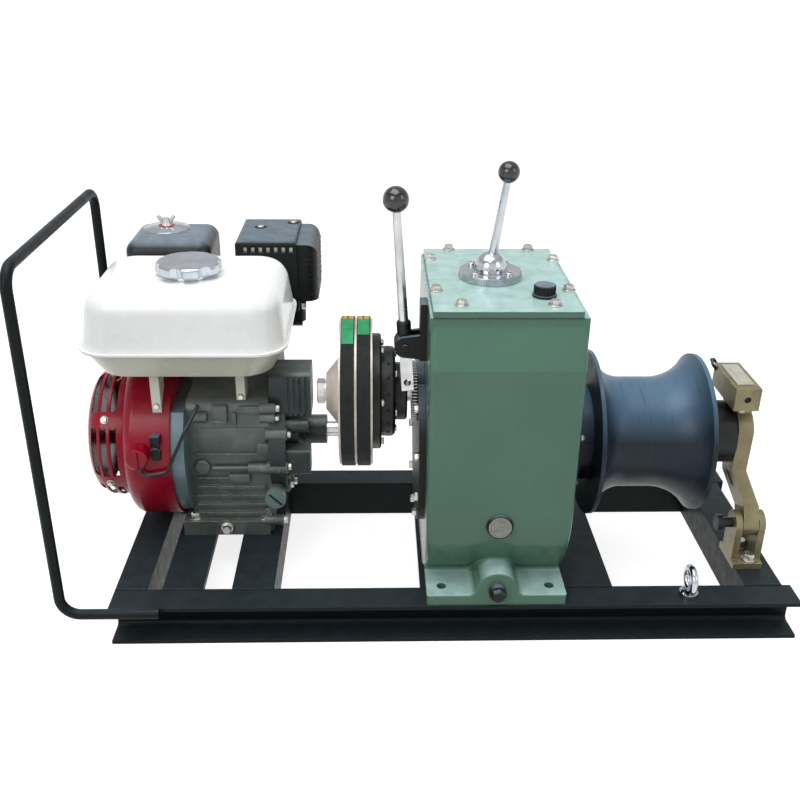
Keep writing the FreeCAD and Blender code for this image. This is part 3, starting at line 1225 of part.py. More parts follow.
block_bottom = output_z + tail_bearing_radius + block_clearance
block_end = arm_start + arm_thickness - 1
lean_cos = run_z / arm_reach
lean_sin = run_y / arm_reach
lip_out_y = (arm_lip + seat_gap) * lean_cos
lip_out_z = -(arm_lip + seat_gap) * lean_sin
lip_up_y = head * lean_sin
lip_up_z = head * lean_cos
latch_block = new_body("latch_block")
prism(latch_block, "z", block_bottom, block_bottom + block_height,
      [box(block_end - block_width, gearbox_y - block_length / 2, block_end,
           gearbox_y + block_length / 2)])
prism(latch_block, "z", output_z + head - 8, block_bottom + 1,
      [box(arm_start + 1, gearbox_y - 22, block_end, gearbox_y + 22)])
prism(latch_block, "x", arm_start, block_end + 1,
      circles=[(gearbox_y, output_z, head)], cut=True)
prism(latch_block, "x", arm_start, block_end + 1, [[
    (gearbox_y, output_z), (gearbox_y + lip_out_y, output_z + lip_out_z),
    (gearbox_y + lip_out_y + lip_up_y, output_z + lip_out_z + lip_up_z),
    (gearbox_y + lip_up_y, output_z + lip_up_z)]], cut=True)
prism(latch_block, "y", gearbox_y - block_length / 2 - 1, gearbox_y + block_length / 2 + 1,
      circles=[(block_end - block_width / 2, block_bottom + block_height / 2,
                block_bore_radius)], cut=True)

eye_lift = eye_radius + eye_bar_radius + 4
lifting_eye = new_body("lifting_eye", eye_x, channel_flange / 2, deck + eye_lift)
turned(lifting_eye, [
    (-eye_bar_radius, eye_radius), (0, eye_radius, eye_bar_radius),
    (0, eye_radius + eye_bar_radius), (0, eye_radius, eye_bar_radius),
    (eye_bar_radius, eye_radius), (0, eye_radius, eye_bar_radius),
    (0, eye_radius - eye_bar_radius), (0, eye_radius, eye_bar_radius)])
prism(lifting_eye, "z", -eye_lift, 6 - eye_lift, circles=[(0, 0, 11)])
prism(lifting_eye, "z", 5 - eye_lift, 2 - eye_radius - eye_bar_radius,
      circles=[(0, 0, 6)])

# Engine fittings
switch_y = crank_y - fan_radius
wire_diameter = size("wire_diameter", 4, "stop switch's wire")
wire_bend = size("wire_bend", 9, "bends of the stop switch's wire")
oil_cap_z = size("oil_cap_z", 110, "oil filler above the floor")
oil_cap_x = size("oil_cap_x", 182, "oil filler from the frame's left end")
oil_cap_front = size("oil_cap_front", 140, "front face of the oil filler's cap")
oil_cap_thickness = size("oil_cap_thickness", 8, "oil filler's cap")
oil_cap_radius = size("oil_cap_radius", 13, "oil filler cap radius")
oil_seat = oil_cap_front + oil_cap_thickness
prism(crankcase, "y", oil_seat, crankcase_front + 10,
      circles=[(oil_cap_x, oil_cap_z, oil_cap_radius - 1)])
prism(crankcase, "x", cover_start, cover_end + 10,
      circles=[(crank_y, crank_z, cover_radius)], cut=True)
oil_cap = new_body("oil_cap")
prism(oil_cap, "y", oil_cap_front, oil_seat, circles=[(oil_cap_x, oil_cap_z, oil_cap_radius)])
stop_switch = new_body("stop_switch")
prism(stop_switch, "y", switch_y - 14, switch_y + 6,
      circles=[(fan_start + 24, crank_z + 22, 12)])
prism(stop_switch, "x", fan_start, fan_end,
      circles=[(crank_y, crank_z, fan_radius + seat_gap)], cut=True)

wire_radius = wire_diameter / 2
wire_exit_x = fan_start + 25
wire_exit_y = switch_y - 5
wire_end_x = fan_start + 90
wire_end_z = crank_z + 66
wire_end_y = crankcase_front + 14
bent_bar("switch_wire", [
    (wire_exit_x, wire_exit_y, crank_z + 18), (wire_exit_x, wire_exit_y, crank_z - 8),
    (fan_start + 56, switch_y - 6, crank_z - 1), (fan_start + 80, switch_y + 2, crank_z + 50),
    (wire_end_x, switch_y + 18, wire_end_z), (wire_end_x, wire_end_y, wire_end_z)],
    wire_bend, wire_diameter)
prism(stop_switch, "z", crank_z + 8, crank_z + 18,
      circles=[(wire_exit_x, wire_exit_y, wire_radius)], cut=True)
prism(crankcase, "y", crankcase_front - 2, wire_end_y,
      circles=[(wire_end_x, wire_end_z, wire_radius)], cut=True)

# Writing
doc.recompute()
for item in doc.Objects:
    if "Invalid" in item.State or "Error" in item.State:
        raise RuntimeError("%s is not built: %s" % (item.Label, item.State))
for piece in pieces:
    if piece.Shape.isNull() or not piece.Shape.isValid() or len(piece.Shape.Solids) != 1:
        raise RuntimeError("%s is not one sound solid" % piece.Label)
os.makedirs("parts", exist_ok=True)
for piece in pieces:
    piece.Shape.exportStep("parts/%s.step" % piece.Label)
print("pieces", len(pieces))
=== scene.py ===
import json
import math
import bmesh
import bpy
from mathutils import Matrix, Vector


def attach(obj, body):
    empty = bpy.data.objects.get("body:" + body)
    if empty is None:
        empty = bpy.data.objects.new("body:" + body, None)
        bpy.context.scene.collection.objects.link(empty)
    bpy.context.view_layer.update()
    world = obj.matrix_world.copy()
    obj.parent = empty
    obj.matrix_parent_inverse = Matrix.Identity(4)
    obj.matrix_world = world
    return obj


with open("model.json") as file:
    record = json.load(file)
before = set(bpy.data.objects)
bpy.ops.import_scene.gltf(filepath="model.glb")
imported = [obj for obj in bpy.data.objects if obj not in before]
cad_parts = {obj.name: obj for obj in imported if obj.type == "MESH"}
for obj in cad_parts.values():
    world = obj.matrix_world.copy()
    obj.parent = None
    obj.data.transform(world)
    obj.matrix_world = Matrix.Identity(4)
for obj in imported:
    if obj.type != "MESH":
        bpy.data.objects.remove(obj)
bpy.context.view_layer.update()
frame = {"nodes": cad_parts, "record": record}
scene = bpy.context.scene


def at(x, y, z):
    """A place in mm from the frame's front left corner, as metres of the shared frame."""
    return Vector((x / 1000 - 0.3745, y / 1000 - 0.217, z / 1000))


# Axes along X as (Y, Z) in mm, the gear lever's place as (X, Y), and heights
crank = (230, 164)
clutch_axis = (130, 265)
wheel_axis = (141, 205)
left_cover_axis = (141, 196)
shift_place = (437, 141)
cover_top = 401
cleaner_disc = (24, 394)
breather = (489, 78)
muffler_screws = ((151, 400), (194, 424))
crank_bolt_angles = (-86, -42, -12, 22, 56, 92, 130, 176, 222)
corner_bolts = ((157, 229, 186), (157, 216, 185), (154, 147, 188), (154, 72, 190))

# Camera: the photograph's station, measured from the frame's corners.
yaw, pitch, roll = math.radians(1.75), math.radians(25.33), math.radians(0.64)
ahead = Vector((math.sin(yaw) * math.cos(pitch), math.cos(yaw) * math.cos(pitch),
                -math.sin(pitch)))
side = Vector((math.cos(yaw), -math.sin(yaw), 0))
above = side.cross(ahead)
right = side * math.cos(roll) + above * math.sin(roll)
upward = above * math.cos(roll) - side * math.sin(roll)
camera_data = bpy.data.cameras.new("camera")
camera_data.sensor_width = 36
camera_data.lens = 969.02 / 800 * 36
camera = bpy.data.objects.new("camera", camera_data)
scene.collection.objects.link(camera)
camera.matrix_world = Matrix.Translation(at(304.7, -908.04, 744.31)) @ Matrix(
    (right, upward, -ahead)).transposed().to_4x4()
scene.camera = camera
scene.view_settings.view_transform = "Standard"


# Materials
def rgb(red, green, blue):
    """A colour as a picture shows it, 0 to 255, in linear light."""
    return tuple((v / 255 / 12.92 if v / 255 <= 0.04045 else ((v / 255 + 0.055) / 1.055) ** 2.4)
                 for v in (red, green, blue)) + (1.0,)


class Nodes:
    """A short way to lay out a material's nodes."""

    def __init__(self, name):
        self.material = bpy.data.materials.new(name)
        self.material.use_nodes = True
        self.tree = self.material.node_tree
        self.tree.nodes.clear()
        self.output = self.tree.nodes.new("ShaderNodeOutputMaterial")
        self.where = self.make("ShaderNodeTexCoord").outputs["Object"]

    def make(self, kind, settings=None, **inputs):
        node = self.tree.nodes.new(kind)
        for key, value in (settings or {}).items():
            setattr(node, key, value)
        for key, value in inputs.items():
            socket = node.inputs[int(key[1:]) if key[0] == "i" and key[1:].isdigit()
                                 else key.replace("_", " ")]
            if isinstance(value, bpy.types.NodeSocket):
                self.tree.links.new(value, socket)
            else:
                socket.default_value = value
        return node

    def noise(self, scale, detail=4.0, rough=0.55, stretch=None, shift=0.0):
        where = self.where
        if stretch or shift:
            where = self.make("ShaderNodeMapping", Vector=where, Scale=stretch or (1, 1, 1),
                              Location=(shift, shift * 0.7, shift * 1.3)).outputs[0]
        return self.make("ShaderNodeTexNoise", Vector=where, Scale=scale, Detail=detail,
                         Roughness=rough).outputs[0]

    def ramp(self, value, low, high, to_low=0.0, to_high=1.0):
        return self.make("ShaderNodeMapRange", {"clamp": True}, i0=value, i1=low, i2=high,
                         i3=to_low, i4=to_high).outputs[0]

    def math(self, kind, a, b=0.0):
        return self.make("ShaderNodeMath", {"operation": kind, "use_clamp": True},
                         i0=a, i1=b).outputs[0]

    def mix(self, share, a, b):
        return self.make("ShaderNodeMix", {"data_type": "RGBA"}, i0=share, i6=a,
                         i7=b).outputs[2]

    def edges(self, radius, low=0.02, high=0.18):
        """1 along convex and concave edges, 0 on open faces."""
        soft = self.make("ShaderNodeBevel", {"samples": 4}, Radius=radius).outputs[0]
        flat = self.make("ShaderNodeNewGeometry").outputs["Normal"]
        turn = self.make("ShaderNodeVectorMath", {"operation": "DOT_PRODUCT"}, i0=soft,
                         i1=flat).outputs["Value"]
        return self.ramp(self.make("ShaderNodeMath", {"operation": "SUBTRACT"}, i0=1.0,
                                   i1=turn).outputs[0], low, high)

    def facing(self, axis, low, high):
        """1 where the surface faces along an axis of the frame."""
        parts = self.make("ShaderNodeSeparateXYZ",
                          Vector=self.make("ShaderNodeNewGeometry").outputs["Normal"])
        return self.ramp(parts.outputs[axis], low, high)

    def place(self, axis, low, high, to_low=0.0, to_high=1.0):
        parts = self.make("ShaderNodeSeparateXYZ", Vector=self.where)
        return self.ramp(parts.outputs[axis], low, high, to_low, to_high)

    def bump(self, height, distance, strength=1.0, normal=None, round_radius=0.0):
        extra = {}
        if round_radius:
            extra["Normal"] = self.make("ShaderNodeBevel", {"samples": 4},
                                        Radius=round_radius).outputs[0]
        if normal is not None:
            extra["Normal"] = normal
        return self.make("ShaderNodeBump", Height=height, Distance=distance,
                         Strength=strength, **extra).outputs[0]

    def finish(self, **inputs):
        shader = self.make("ShaderNodeBsdfPrincipled", **inputs)
        self.tree.links.new(shader.outputs[0], self.output.inputs[0])
        return self.material


def painted(name, colour, shade, rough, patch=24, dust_and_sheen=None, wear=None, coat=0.0,
            grain=700, depth=0.00008, radius=0.0008, metal=0.0, dust_and_sheen_share=0.6,
            wear_share=0.75, specular=0.5):
    """Paint, plating or casting: two tones, uneven gloss, dust and a painted top sheen on upward
    faces, worn edges.
    """
    n = Nodes(name)
    tone = n.ramp(n.noise(patch, 6), 0.32, 0.7)
    base = n.mix(tone, colour, shade)
    fleck = n.ramp(n.noise(patch * 18, 3, shift=3.1), 0.62, 0.74, 0.0, 0.35)
    base = n.mix(fleck, base, shade)
    # Upward faces are mixed towards a lighter colour: partly dust, partly a painted sheen of the
    # light from above.
    if dust_and_sheen:
        top_sheen = n.math("MULTIPLY", n.facing("Z", 0.5, 0.95),
                       n.ramp(n.noise(60, 5, shift=7.7), 0.3, 0.75, dust_and_sheen_share * 0.6,
                              dust_and_sheen_share))
        base = n.mix(top_sheen, base, dust_and_sheen)
    worn = None
    if wear:
        worn = n.math("MULTIPLY", n.edges(radius * 1.6),
                      n.ramp(n.noise(160, 5, shift=11.0), 0.42, 0.62, 0.0, wear_share))
        base = n.mix(worn, base, wear)
    gloss = n.ramp(n.noise(patch * 3, 5, shift=5.3), 0.25, 0.75, rough[0], rough[1])
    bumps = n.bump(n.noise(grain, 3, shift=2.2), depth, 0.6, round_radius=radius)
    return n.finish(Base_Color=base, Roughness=gloss, Metallic=metal, Normal=bumps,
                    Coat_Weight=coat, Coat_Roughness=0.12, Specular_IOR_Level=specular)


def turned_metal(name, colour, shade, rough, axis=0, rings=900, depth=0.00002, wear=None,
                 radius=0.0005, metal=1.0, grime=None):
    """Machined metal with fine tool marks across the turning axis."""
    n = Nodes(name)
    stretch = [12.0, 12.0, 12.0]
    stretch[axis] = rings
    marks = n.noise(1.0, 2, stretch=tuple(stretch))
    tone = n.ramp(n.noise(45, 6, shift=1.9), 0.3, 0.72)
    base = n.mix(tone, colour, shade)
    if grime:
        dirty = n.math("MULTIPLY", n.edges(radius * 3, 0.01, 0.2),
                       n.ramp(n.noise(120, 4, shift=4.1), 0.3, 0.7, 0.1, 0.8))
        base = n.mix(dirty, base, grime)
    gloss = n.ramp(n.noise(90, 4, shift=6.4), 0.3, 0.7, rough[0], rough[1])
    bumps = n.bump(marks, depth, 0.8, round_radius=radius)
    return n.finish(Base_Color=base, Roughness=gloss, Metallic=metal, Normal=bumps)


M = {}
# Each dust colour below is partly dust and partly a painted sheen on upward faces.
M["black_paint"] = painted("black_paint", rgb(9, 15, 16), rgb(17, 23, 25), (0.34, 0.52),
                           dust_and_sheen=rgb(66, 78, 84), wear=rgb(84, 84, 82), dust_and_sheen_share=0.4,
                           wear_share=0.3, depth=0.00012, specular=0.15)
M["green_enamel"] = painted("green_enamel", rgb(84, 122, 103), rgb(77, 115, 96),
                            (0.2, 0.32), patch=9, dust_and_sheen=rgb(190, 220, 218), dust_and_sheen_share=0.8,
                            wear=rgb(62, 92, 78), wear_share=0.3, coat=0.08, grain=420,
                            depth=0.00005, radius=0.0016, specular=0.32)
M["red_paint"] = painted("red_paint", rgb(162, 5, 42), rgb(142, 4, 33), (0.2, 0.32),
                         patch=14, coat=0.1, depth=0.00003, wear=rgb(104, 12, 26),
                         wear_share=0.3, radius=0.0012, specular=0.25)
M["black_plastic"] = painted("black_plastic", rgb(20, 24, 26), rgb(28, 32, 34),
                             (0.3, 0.48), patch=30, dust_and_sheen=rgb(132, 148, 162), dust_and_sheen_share=0.8,
                             specular=0.35,
                             grain=1500, depth=0.00006, radius=0.0012)
M["black_steel"] = painted("black_steel", rgb(20, 23, 24), rgb(30, 32, 32), (0.34, 0.55),
                           patch=30, dust_and_sheen=rgb(120, 136, 148), dust_and_sheen_share=0.75, specular=0.22,
                           wear=rgb(90, 84, 78), wear_share=0.4, grain=1200, depth=0.0001)
M["cast_alloy"] = painted("cast_alloy", rgb(106, 114, 110), rgb(74, 83, 80), (0.4, 0.6),
                          patch=26, metal=0.5, wear=rgb(178, 182, 178), wear_share=0.85,
                          dust_and_sheen=rgb(168, 172, 164), dust_and_sheen_share=0.5, grain=900, depth=0.00025)
M["grey_paint"] = painted("grey_paint", rgb(116, 138, 146), rgb(92, 114, 122), (0.3, 0.45),
                          metal=0.2, wear=rgb(176, 188, 192), wear_share=0.6, depth=0.0001)
M["dark_steel"] = turned_metal("dark_steel", rgb(40, 43, 40), rgb(22, 24, 22), (0.32, 0.5),
                               metal=0.5,
                               grime=rgb(22, 20, 19))
M["bright_steel"] = turned_metal("bright_steel", rgb(216, 217, 216), rgb(184, 184, 180),
                                 (0.2, 0.38), grime=rgb(70, 66, 60))
M["chrome"] = turned_metal("chrome", rgb(206, 210, 216), rgb(178, 182, 190), (0.07, 0.16),
                           axis=2, rings=300, depth=0.000004, radius=0.0009,
                           grime=rgb(120, 120, 120))
M["belt_rubber"] = painted("belt_rubber", rgb(18, 23, 22), rgb(30, 35, 34), (0.6, 0.8),
                           patch=60, grain=2200, depth=0.0002, specular=0.25,
                           wear=rgb(70, 72, 70),
                           wear_share=0.5, radius=0.0005)
M["yellow_zinc"] = painted("yellow_zinc", rgb(148, 138, 102), rgb(118, 110, 82),
                           (0.24, 0.42), patch=40, metal=0.4, wear=rgb(226, 222, 206),
                           wear_share=0.8, grain=600, depth=0.00006)
M["pulley_steel"] = turned_metal("pulley_steel", rgb(226, 216, 206), rgb(190, 180, 168),
                                 (0.3, 0.45), metal=0.35, grime=rgb(66, 58, 46))


def wheel_iron():
    """Blue-black casting, polished by rope at the waist, worn light on the left rim, with a painted
    highlight on upward faces and painted shade on downward faces.
    """
    n = Nodes("cast_iron_wheel")
    tone = n.ramp(n.noise(18, 7), 0.3, 0.72)
    base = n.mix(tone, rgb(16, 27, 37), rgb(24, 36, 47))
    # Painted highlight: upward faces lightened towards pale blue.
    top_sheen = n.math("MULTIPLY", n.facing("Z", 0.25, 0.95), 0.75)
    base = n.mix(top_sheen, base, rgb(96, 128, 156))
    # Painted shade: downward faces darkened towards near black.
    base = n.mix(n.facing("Z", -0.1, -0.8), base, rgb(8, 12, 14))
    streak = n.ramp(n.noise(1.0, 3, stretch=(260.0, 14.0, 14.0)), 0.56, 0.72, 0.0, 0.4)
    base = n.mix(streak, base, rgb(44, 55, 67))
    worn = n.math("MULTIPLY", n.edges(0.0016), n.ramp(n.noise(90, 5, shift=9.0), 0.38, 0.6,
                                                      0.0, 0.3))
    base = n.mix(worn, base, rgb(112, 116, 118))
    gloss = n.ramp(n.noise(50, 5, shift=5.0), 0.25, 0.75, 0.3, 0.46)
    marks = n.noise(1.0, 3, stretch=(520.0, 30.0, 30.0), shift=2.0)
    bumps = n.bump(marks, 0.00004, 0.8, round_radius=0.0012)
    return n.finish(Base_Color=base, Roughness=gloss, Metallic=0.1, Normal=bumps,
                    Specular_IOR_Level=0.3)


def tank_white():
    """Gloss white shell above the seam, cream below it."""
    n = Nodes("white_paint")
    lower = n.place("Z", 0.3172, 0.3176, 1.0, 0.0)
    base = n.mix(lower, rgb(246, 248, 246), rgb(222, 222, 204))
    stain = n.ramp(n.noise(22, 6, shift=2.5), 0.5, 0.8, 0.0, 0.22)
    base = n.mix(stain, base, rgb(208, 206, 190))
    rim = n.math("MULTIPLY", n.edges(0.002, 0.02, 0.3), 0.35)
    base = n.mix(rim, base, rgb(190, 190, 178))
    gloss = n.ramp(n.noise(40, 4, shift=6.0), 0.3, 0.7, 0.18, 0.3)
    bumps = n.bump(n.noise(35, 3), 0.00015, 0.35, round_radius=0.0018)
    return n.finish(Base_Color=base, Roughness=gloss, Normal=bumps, Coat_Weight=0.3,
                    Coat_Roughness=0.1)


def clear_glass():
    n = Nodes("glass")
    oil = n.ramp(n.noise(160, 4), 0.35, 0.7)
    ring = n.edges(0.002, 0.02, 0.3)
    base = n.mix(ring, n.mix(oil, rgb(92, 96, 84), rgb(134, 136, 122)), rgb(190, 190, 186))
    return n.finish(Base_Color=base, Roughness=0.08, Metallic=0.1, Coat_Weight=1.0,
                    Coat_Roughness=0.03,
                    Normal=n.bump(n.noise(300, 2), 0.00005, 0.3, round_radius=0.001))


M["cast_iron_wheel"] = wheel_iron()
M["white_paint"] = tank_white()
M["glass"] = clear_glass()
M["zinc_bolt"] = turned_metal("zinc_bolt", rgb(214, 214, 208), rgb(176, 176, 168),
                              (0.26, 0.42), grime=rgb(96, 92, 84), radius=0.0004)
M["zinc_light"] = painted("zinc_light", rgb(214, 212, 200), rgb(196, 192, 172), (0.26, 0.42),
                          patch=50, metal=0.7, grain=600, depth=0.00005)
# Near black for the insides of holes, slots, recesses and the recoil starter: painted shade.
M["painted_shade_black"] = painted("painted_shade_black", rgb(10, 10, 11), rgb(16, 16, 17), (0.7, 0.9),
                         patch=80, grain=900)
M["mark_green"] = painted("mark_green", rgb(22, 150, 92), rgb(14, 120, 74), (0.5, 0.7),
                          patch=90, wear=rgb(50, 60, 56), wear_share=0.5, grain=1600,
                          depth=0.0001)
M["mark_gold"] = painted("mark_gold", rgb(205, 160, 56), rgb(166, 126, 38), (0.45, 0.65),
                         patch=90, grain=1600, depth=0.0001)
M["cover_alloy"] = painted("cover_alloy", rgb(58, 68, 66), rgb(40, 50, 50), (0.36, 0.56),
                           patch=26, metal=0.5, wear=rgb(132, 142, 140), wear_share=0.8,
                           dust_and_sheen=rgb(150, 156, 150), dust_and_sheen_share=0.5, grain=900, depth=0.0002)
M["cap_paint"] = painted("cap_paint", rgb(112, 136, 132), rgb(92, 118, 116), (0.32, 0.5),
                         patch=30, wear=rgb(168, 180, 176), wear_share=0.6, depth=0.00006)
M["knob_gloss"] = painted("knob_gloss", rgb(14, 14, 16), rgb(20, 20, 23), (0.08, 0.16),
                          patch=20, coat=0.6, depth=0.00001, radius=0.0005)

slot_of = {part["node"]: part["material_slot"] for part in frame["record"]["subparts"]}
for name, node in frame["nodes"].items():
    look = M[{"shift_knob": "knob_gloss", "clutch_knob": "knob_gloss", "oil_cap": "cap_paint",
              "crankcase_cover": "cover_alloy"}.get(name, slot_of[name])]
    node.data.materials.clear()
    node.data.materials.append(look)


# Shapes
class Batch:
    """Small pieces of one material on one body, gathered in one mesh."""

    def __init__(self, name, body, look, slot=None):
        self.name, self.body, self.look, self.slot = name, body, look, slot or look
        self.mesh = bmesh.new()

    def lathe(self, place, direction, profile, steps=32, turn=0.0, close=True):
        """Revolve (along, radius) pairs in mm about a line from place."""
        turned = Vector(direction).normalized().to_track_quat("Z", "Y").to_matrix()
        rings = []
        for along, radius in profile:
            ring = []
            for step in range(steps if radius > 0 else 1):
                angle = 2 * math.pi * step / steps + turn
                offset = Vector((radius * math.cos(angle), radius * math.sin(angle),
                                 along)) / 1000
                ring.append(self.mesh.verts.new(place + turned @ offset))
            rings.append(ring)
        for low, high in zip(rings, rings[1:]):
            for step in range(steps):
                a, b = low[step % len(low)], low[(step + 1) % len(low)]
                c, d = high[(step + 1) % len(high)], high[step % len(high)]
                corners = []
                for vert in (a, b, c, d):
                    if vert not in corners:
                        corners.append(vert)
                if len(corners) > 2:
                    self.mesh.faces.new(corners)
        return self

    def bolt(self, place, direction, flats=10.0, head=5.0, washer=0.0, turn=0.3, stand=0.0):
        """A hexagon head with its corners bevelled, on a washer or not."""
        corner = flats / math.sqrt(3)
        base = stand
        if washer:
            self.lathe(place, direction, [(0, 0), (0, washer), (1.2, washer),
                                          (1.6, washer - 0.4), (1.6, 0)], 28)
            base += 1.6
        self.lathe(place, direction, [(base, 0), (base, corner), (base + head * 0.78, corner),
                                      (base + head, corner * 0.87), (base + head, 0)], 6, turn)
        self.lathe(place, direction, [(base + head * 0.9, 0), (base + head * 0.9, corner * 0.8),
                                      (base + head + 0.25, corner * 0.78),
                                      (base + head + 0.25, 0)], 24)
        return self

    def socket(self, place, direction, radius=4.5, head=4.5, hole=2.6):
        """A cap screw with a hexagon socket."""
        self.lathe(place, direction, [(0, radius), (head - 0.6, radius), (head, radius - 0.6),
                                      (head, hole + 0.3), (head - 0.3, hole)], 24)
        self.lathe(place, direction, [(head - 0.3, hole), (head - 2.6, hole),
                                      (head - 2.6, 0)], 24)
        return self

    def bar(self, low, high, bevel=0.8):
        """A block between two corners in mm, with rounded edges."""
        a, b = at(*low), at(*high)
        made = bmesh.ops.create_cube(self.mesh, size=1.0)["verts"]
        for vert in made:
            for axis in range(3):
                vert.co[axis] = a[axis] if vert.co[axis] < 0 else b[axis]
        edges = list({edge for vert in made for edge in vert.link_edges})
        if bevel:
            bmesh.ops.bevel(self.mesh, geom=edges, offset=bevel / 1000, segments=2,
                            profile=0.6, affect="EDGES")
        return self

    def plate(self, outline, axis, low, high, bevel=0.5):
        """Extrude an outline (mm pairs in the other two axes) along an axis."""
        order = {"x": (1, 2, 0), "y": (0, 2, 1), "z": (0, 1, 2)}[axis]
        rings = []
        for along in (low, high):
            ring = []
            for pair in outline:
                spot = [0, 0, 0]
                spot[order[0]], spot[order[1]], spot[order[2]] = pair[0], pair[1], along
                ring.append(self.mesh.verts.new(at(*spot)))
            rings.append(ring)
        faces = [self.mesh.faces.new(rings[0]), self.mesh.faces.new(rings[1])]
        for step in range(len(outline)):
            following = (step + 1) % len(outline)
            faces.append(self.mesh.faces.new((rings[0][step], rings[0][following],
                                              rings[1][following], rings[1][step])))
        bmesh.ops.recalc_face_normals(self.mesh, faces=faces)
        if bevel:
            edges = list(set(faces[0].edges) | set(faces[1].edges))
            bmesh.ops.bevel(self.mesh, geom=edges, offset=bevel / 1000, segments=2,
                            profile=0.6, affect="EDGES")
        return self

    def rod(self, points, radius, steps=16):
        """A bent round rod through points in mm, straight between them."""
        spots = [at(*point) for point in points]
        rings = []
        across = None
        for number, spot in enumerate(spots):
            into = (spot - spots[number - 1]).normalized() if number else None
            out = (spots[number + 1] - spot).normalized() if number + 1 < len(spots) else None
            along = ((into or out) + (out or into)).normalized()
            if across is None:
                across = along.orthogonal().normalized()
            across = (across - along * across.dot(along)).normalized()
            second = along.cross(across)
            rings.append([self.mesh.verts.new(
                spot + (across * math.cos(2 * math.pi * k / steps)
                        + second * math.sin(2 * math.pi * k / steps)) * radius / 1000)
                for k in range(steps)])
        for low, high in zip(rings, rings[1:]):
            for k in range(steps):
                self.mesh.faces.new((low[k], low[(k + 1) % steps], high[(k + 1) % steps],
                                     high[k]))
        self.mesh.faces.new(list(reversed(rings[0])))
        self.mesh.faces.new(rings[-1])
        return self

    def done(self, angle=34):
        bmesh.ops.recalc_face_normals(self.mesh, faces=self.mesh.faces)
        data = bpy.data.meshes.new(self.name)
        self.mesh.to_mesh(data)
        self.mesh.free()
        for face in data.polygons:
            face.use_smooth = True
        data.set_sharp_from_angle(angle=math.radians(angle))
        data.materials.append(M[self.look])
        made = bpy.data.objects.new(self.name, data)
        scene.collection.objects.link(made)
        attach(made, self.body)
        return made


# Gearbox fasteners
X, Y, Z = Vector((1, 0, 0)), Vector((0, 1, 0)), Vector((0, 0, 1))


def polar(x, y, z, radius, degrees):
    """A place on a circle square to X, counted from the front upward."""
    angle = math.radians(degrees)
    return at(x, y - radius * math.cos(angle), z + radius * math.sin(angle))


bolts = Batch("gearbox_bolts", "base", "zinc_bolt", "bright_steel")
for x, y in ((398, 250), (496, 250), (373, 210), (520, 207), (373, 95), (519, 97),
             (397.5, 48.5), (496, 48.5)):
    bolts.bolt(at(x, y, cover_top), Z, 10, 4.5, washer=7.5, turn=0.2 + x)
for step in range(10):
    degrees = step * 36 + 14
    bolts.bolt(polar(356, *left_cover_axis, 89, degrees), -X, 9, 4.5, turn=step)
for step in range(6):
    bolts.bolt(polar(544, *wheel_axis, 64, step * 60 + 20), X, 10, 5, turn=step)
bolts.done()

# Bull wheel hub
studs = Batch("wheel_hub_studs", "bull_wheel_body", "dark_steel")
for step in range(8):
    spot = polar(545, *wheel_axis, 50, step * 45 + 10)
    studs.lathe(spot, X, [(0, 0), (0, 4), (11, 4), (11, 0)], 16)
    studs.bolt(spot + X * 0.006, X, 11, 6, turn=step)
studs.done()

# Gear lever flange
screws = Batch("shift_flange_screws", "base", "bright_steel")
for turn in range(4):
    angle = math.radians(turn * 90 + 45)
    screws.socket(at(shift_place[0] + 27 * math.cos(angle),
                     shift_place[1] + 27 * math.sin(angle), 410), Z,
                  4.4, 3.5, 2.3)
screws.done()
ribs = Batch("shift_flange_knurl", "base", "chrome")
for step in range(84):
    angle = 2 * math.pi * step / 84
    spot = at(shift_place[0] + 34.8 * math.cos(angle),
              shift_place[1] + 34.8 * math.sin(angle), 402)
    ribs.lathe(spot, Z, [(0, 0), (0, 0.75), (7, 0.75), (7, 0)], 6)
ribs.done()

# Gearbox plugs and breather
plugs = Batch("plug_details", "base", "black_steel")
plugs.bolt(at(447, -5, 70), -Y, 14, 6)
plugs.lathe(at(*breather, cover_top), Z, [(0, 12.5), (0, 13.2), (2.2, 13.2), (3, 12.4), (3, 11)], 40)
for step in range(20):
    angle = 2 * math.pi * step / 20
    plugs.lathe(at(breather[0] + 11 * math.cos(angle), breather[1] + 11 * math.sin(angle), 405), Z,
                [(0, 0), (0, 1.1), (8, 1.1), (8.6, 0.5), (8.6, 0)], 8)
plugs.lathe(at(447, 14, 150), -Y, [(0, 13.4), (3.2, 13.4), (3.8, 14.4), (0, 15.6)], 40)
plugs.done()

# Input bearing and cover gasket
teeth = Batch("bearing_ring_teeth", "base", "bright_steel")
for step in range(60):
    spot = polar(349.6, *clutch_axis, 35.2, step * 6)
    teeth.lathe(spot, X, [(0, 0), (0, 0.9), (5.6, 0.9), (5.6, 0)], 6)
teeth.done()
lip = Batch("cover_gasket", "base", "black_plastic")
lip.bar((366.6, 27, 393.6), (523.4, 255, 394.4), 0)
lip.done()

# Engine bolts
trim = Batch("engine_bolts", "base", "zinc_bolt", "bright_steel")
for degrees in crank_bolt_angles:
    trim.bolt(polar(198.6, *crank, 76, degrees), X, 8, 4, turn=degrees)
for degrees in (34.7, 94.7, 154.7, 214.7, 274.7, 334.7):
    spot = polar(-24, *crank, 83.4, degrees)
    away = (spot - at(-24, *crank)).normalized()
    trim.bolt(spot, away, 7, 3, washer=5)
for x, y in ((77, 164), (165, 164), (77, 332), (165, 332)):
    trim.bolt(at(x, y, 70), Z, 12, 7, washer=9)
trim.bolt(at(117, 153, 61), -Y, 11, 6, washer=8)
trim.bolt(at(45.5, 144, 239), -Y, 7, 3.5)
trim.bolt(at(143.5, 166, 241), -Y, 7, 3.5)
for y, z, x in corner_bolts:
    trim.bolt(at(x, y, z), X, 8, 4.5, turn=z)
trim.bolt(at(171.5, 153.6, 82), -Y, 7, 3.5)
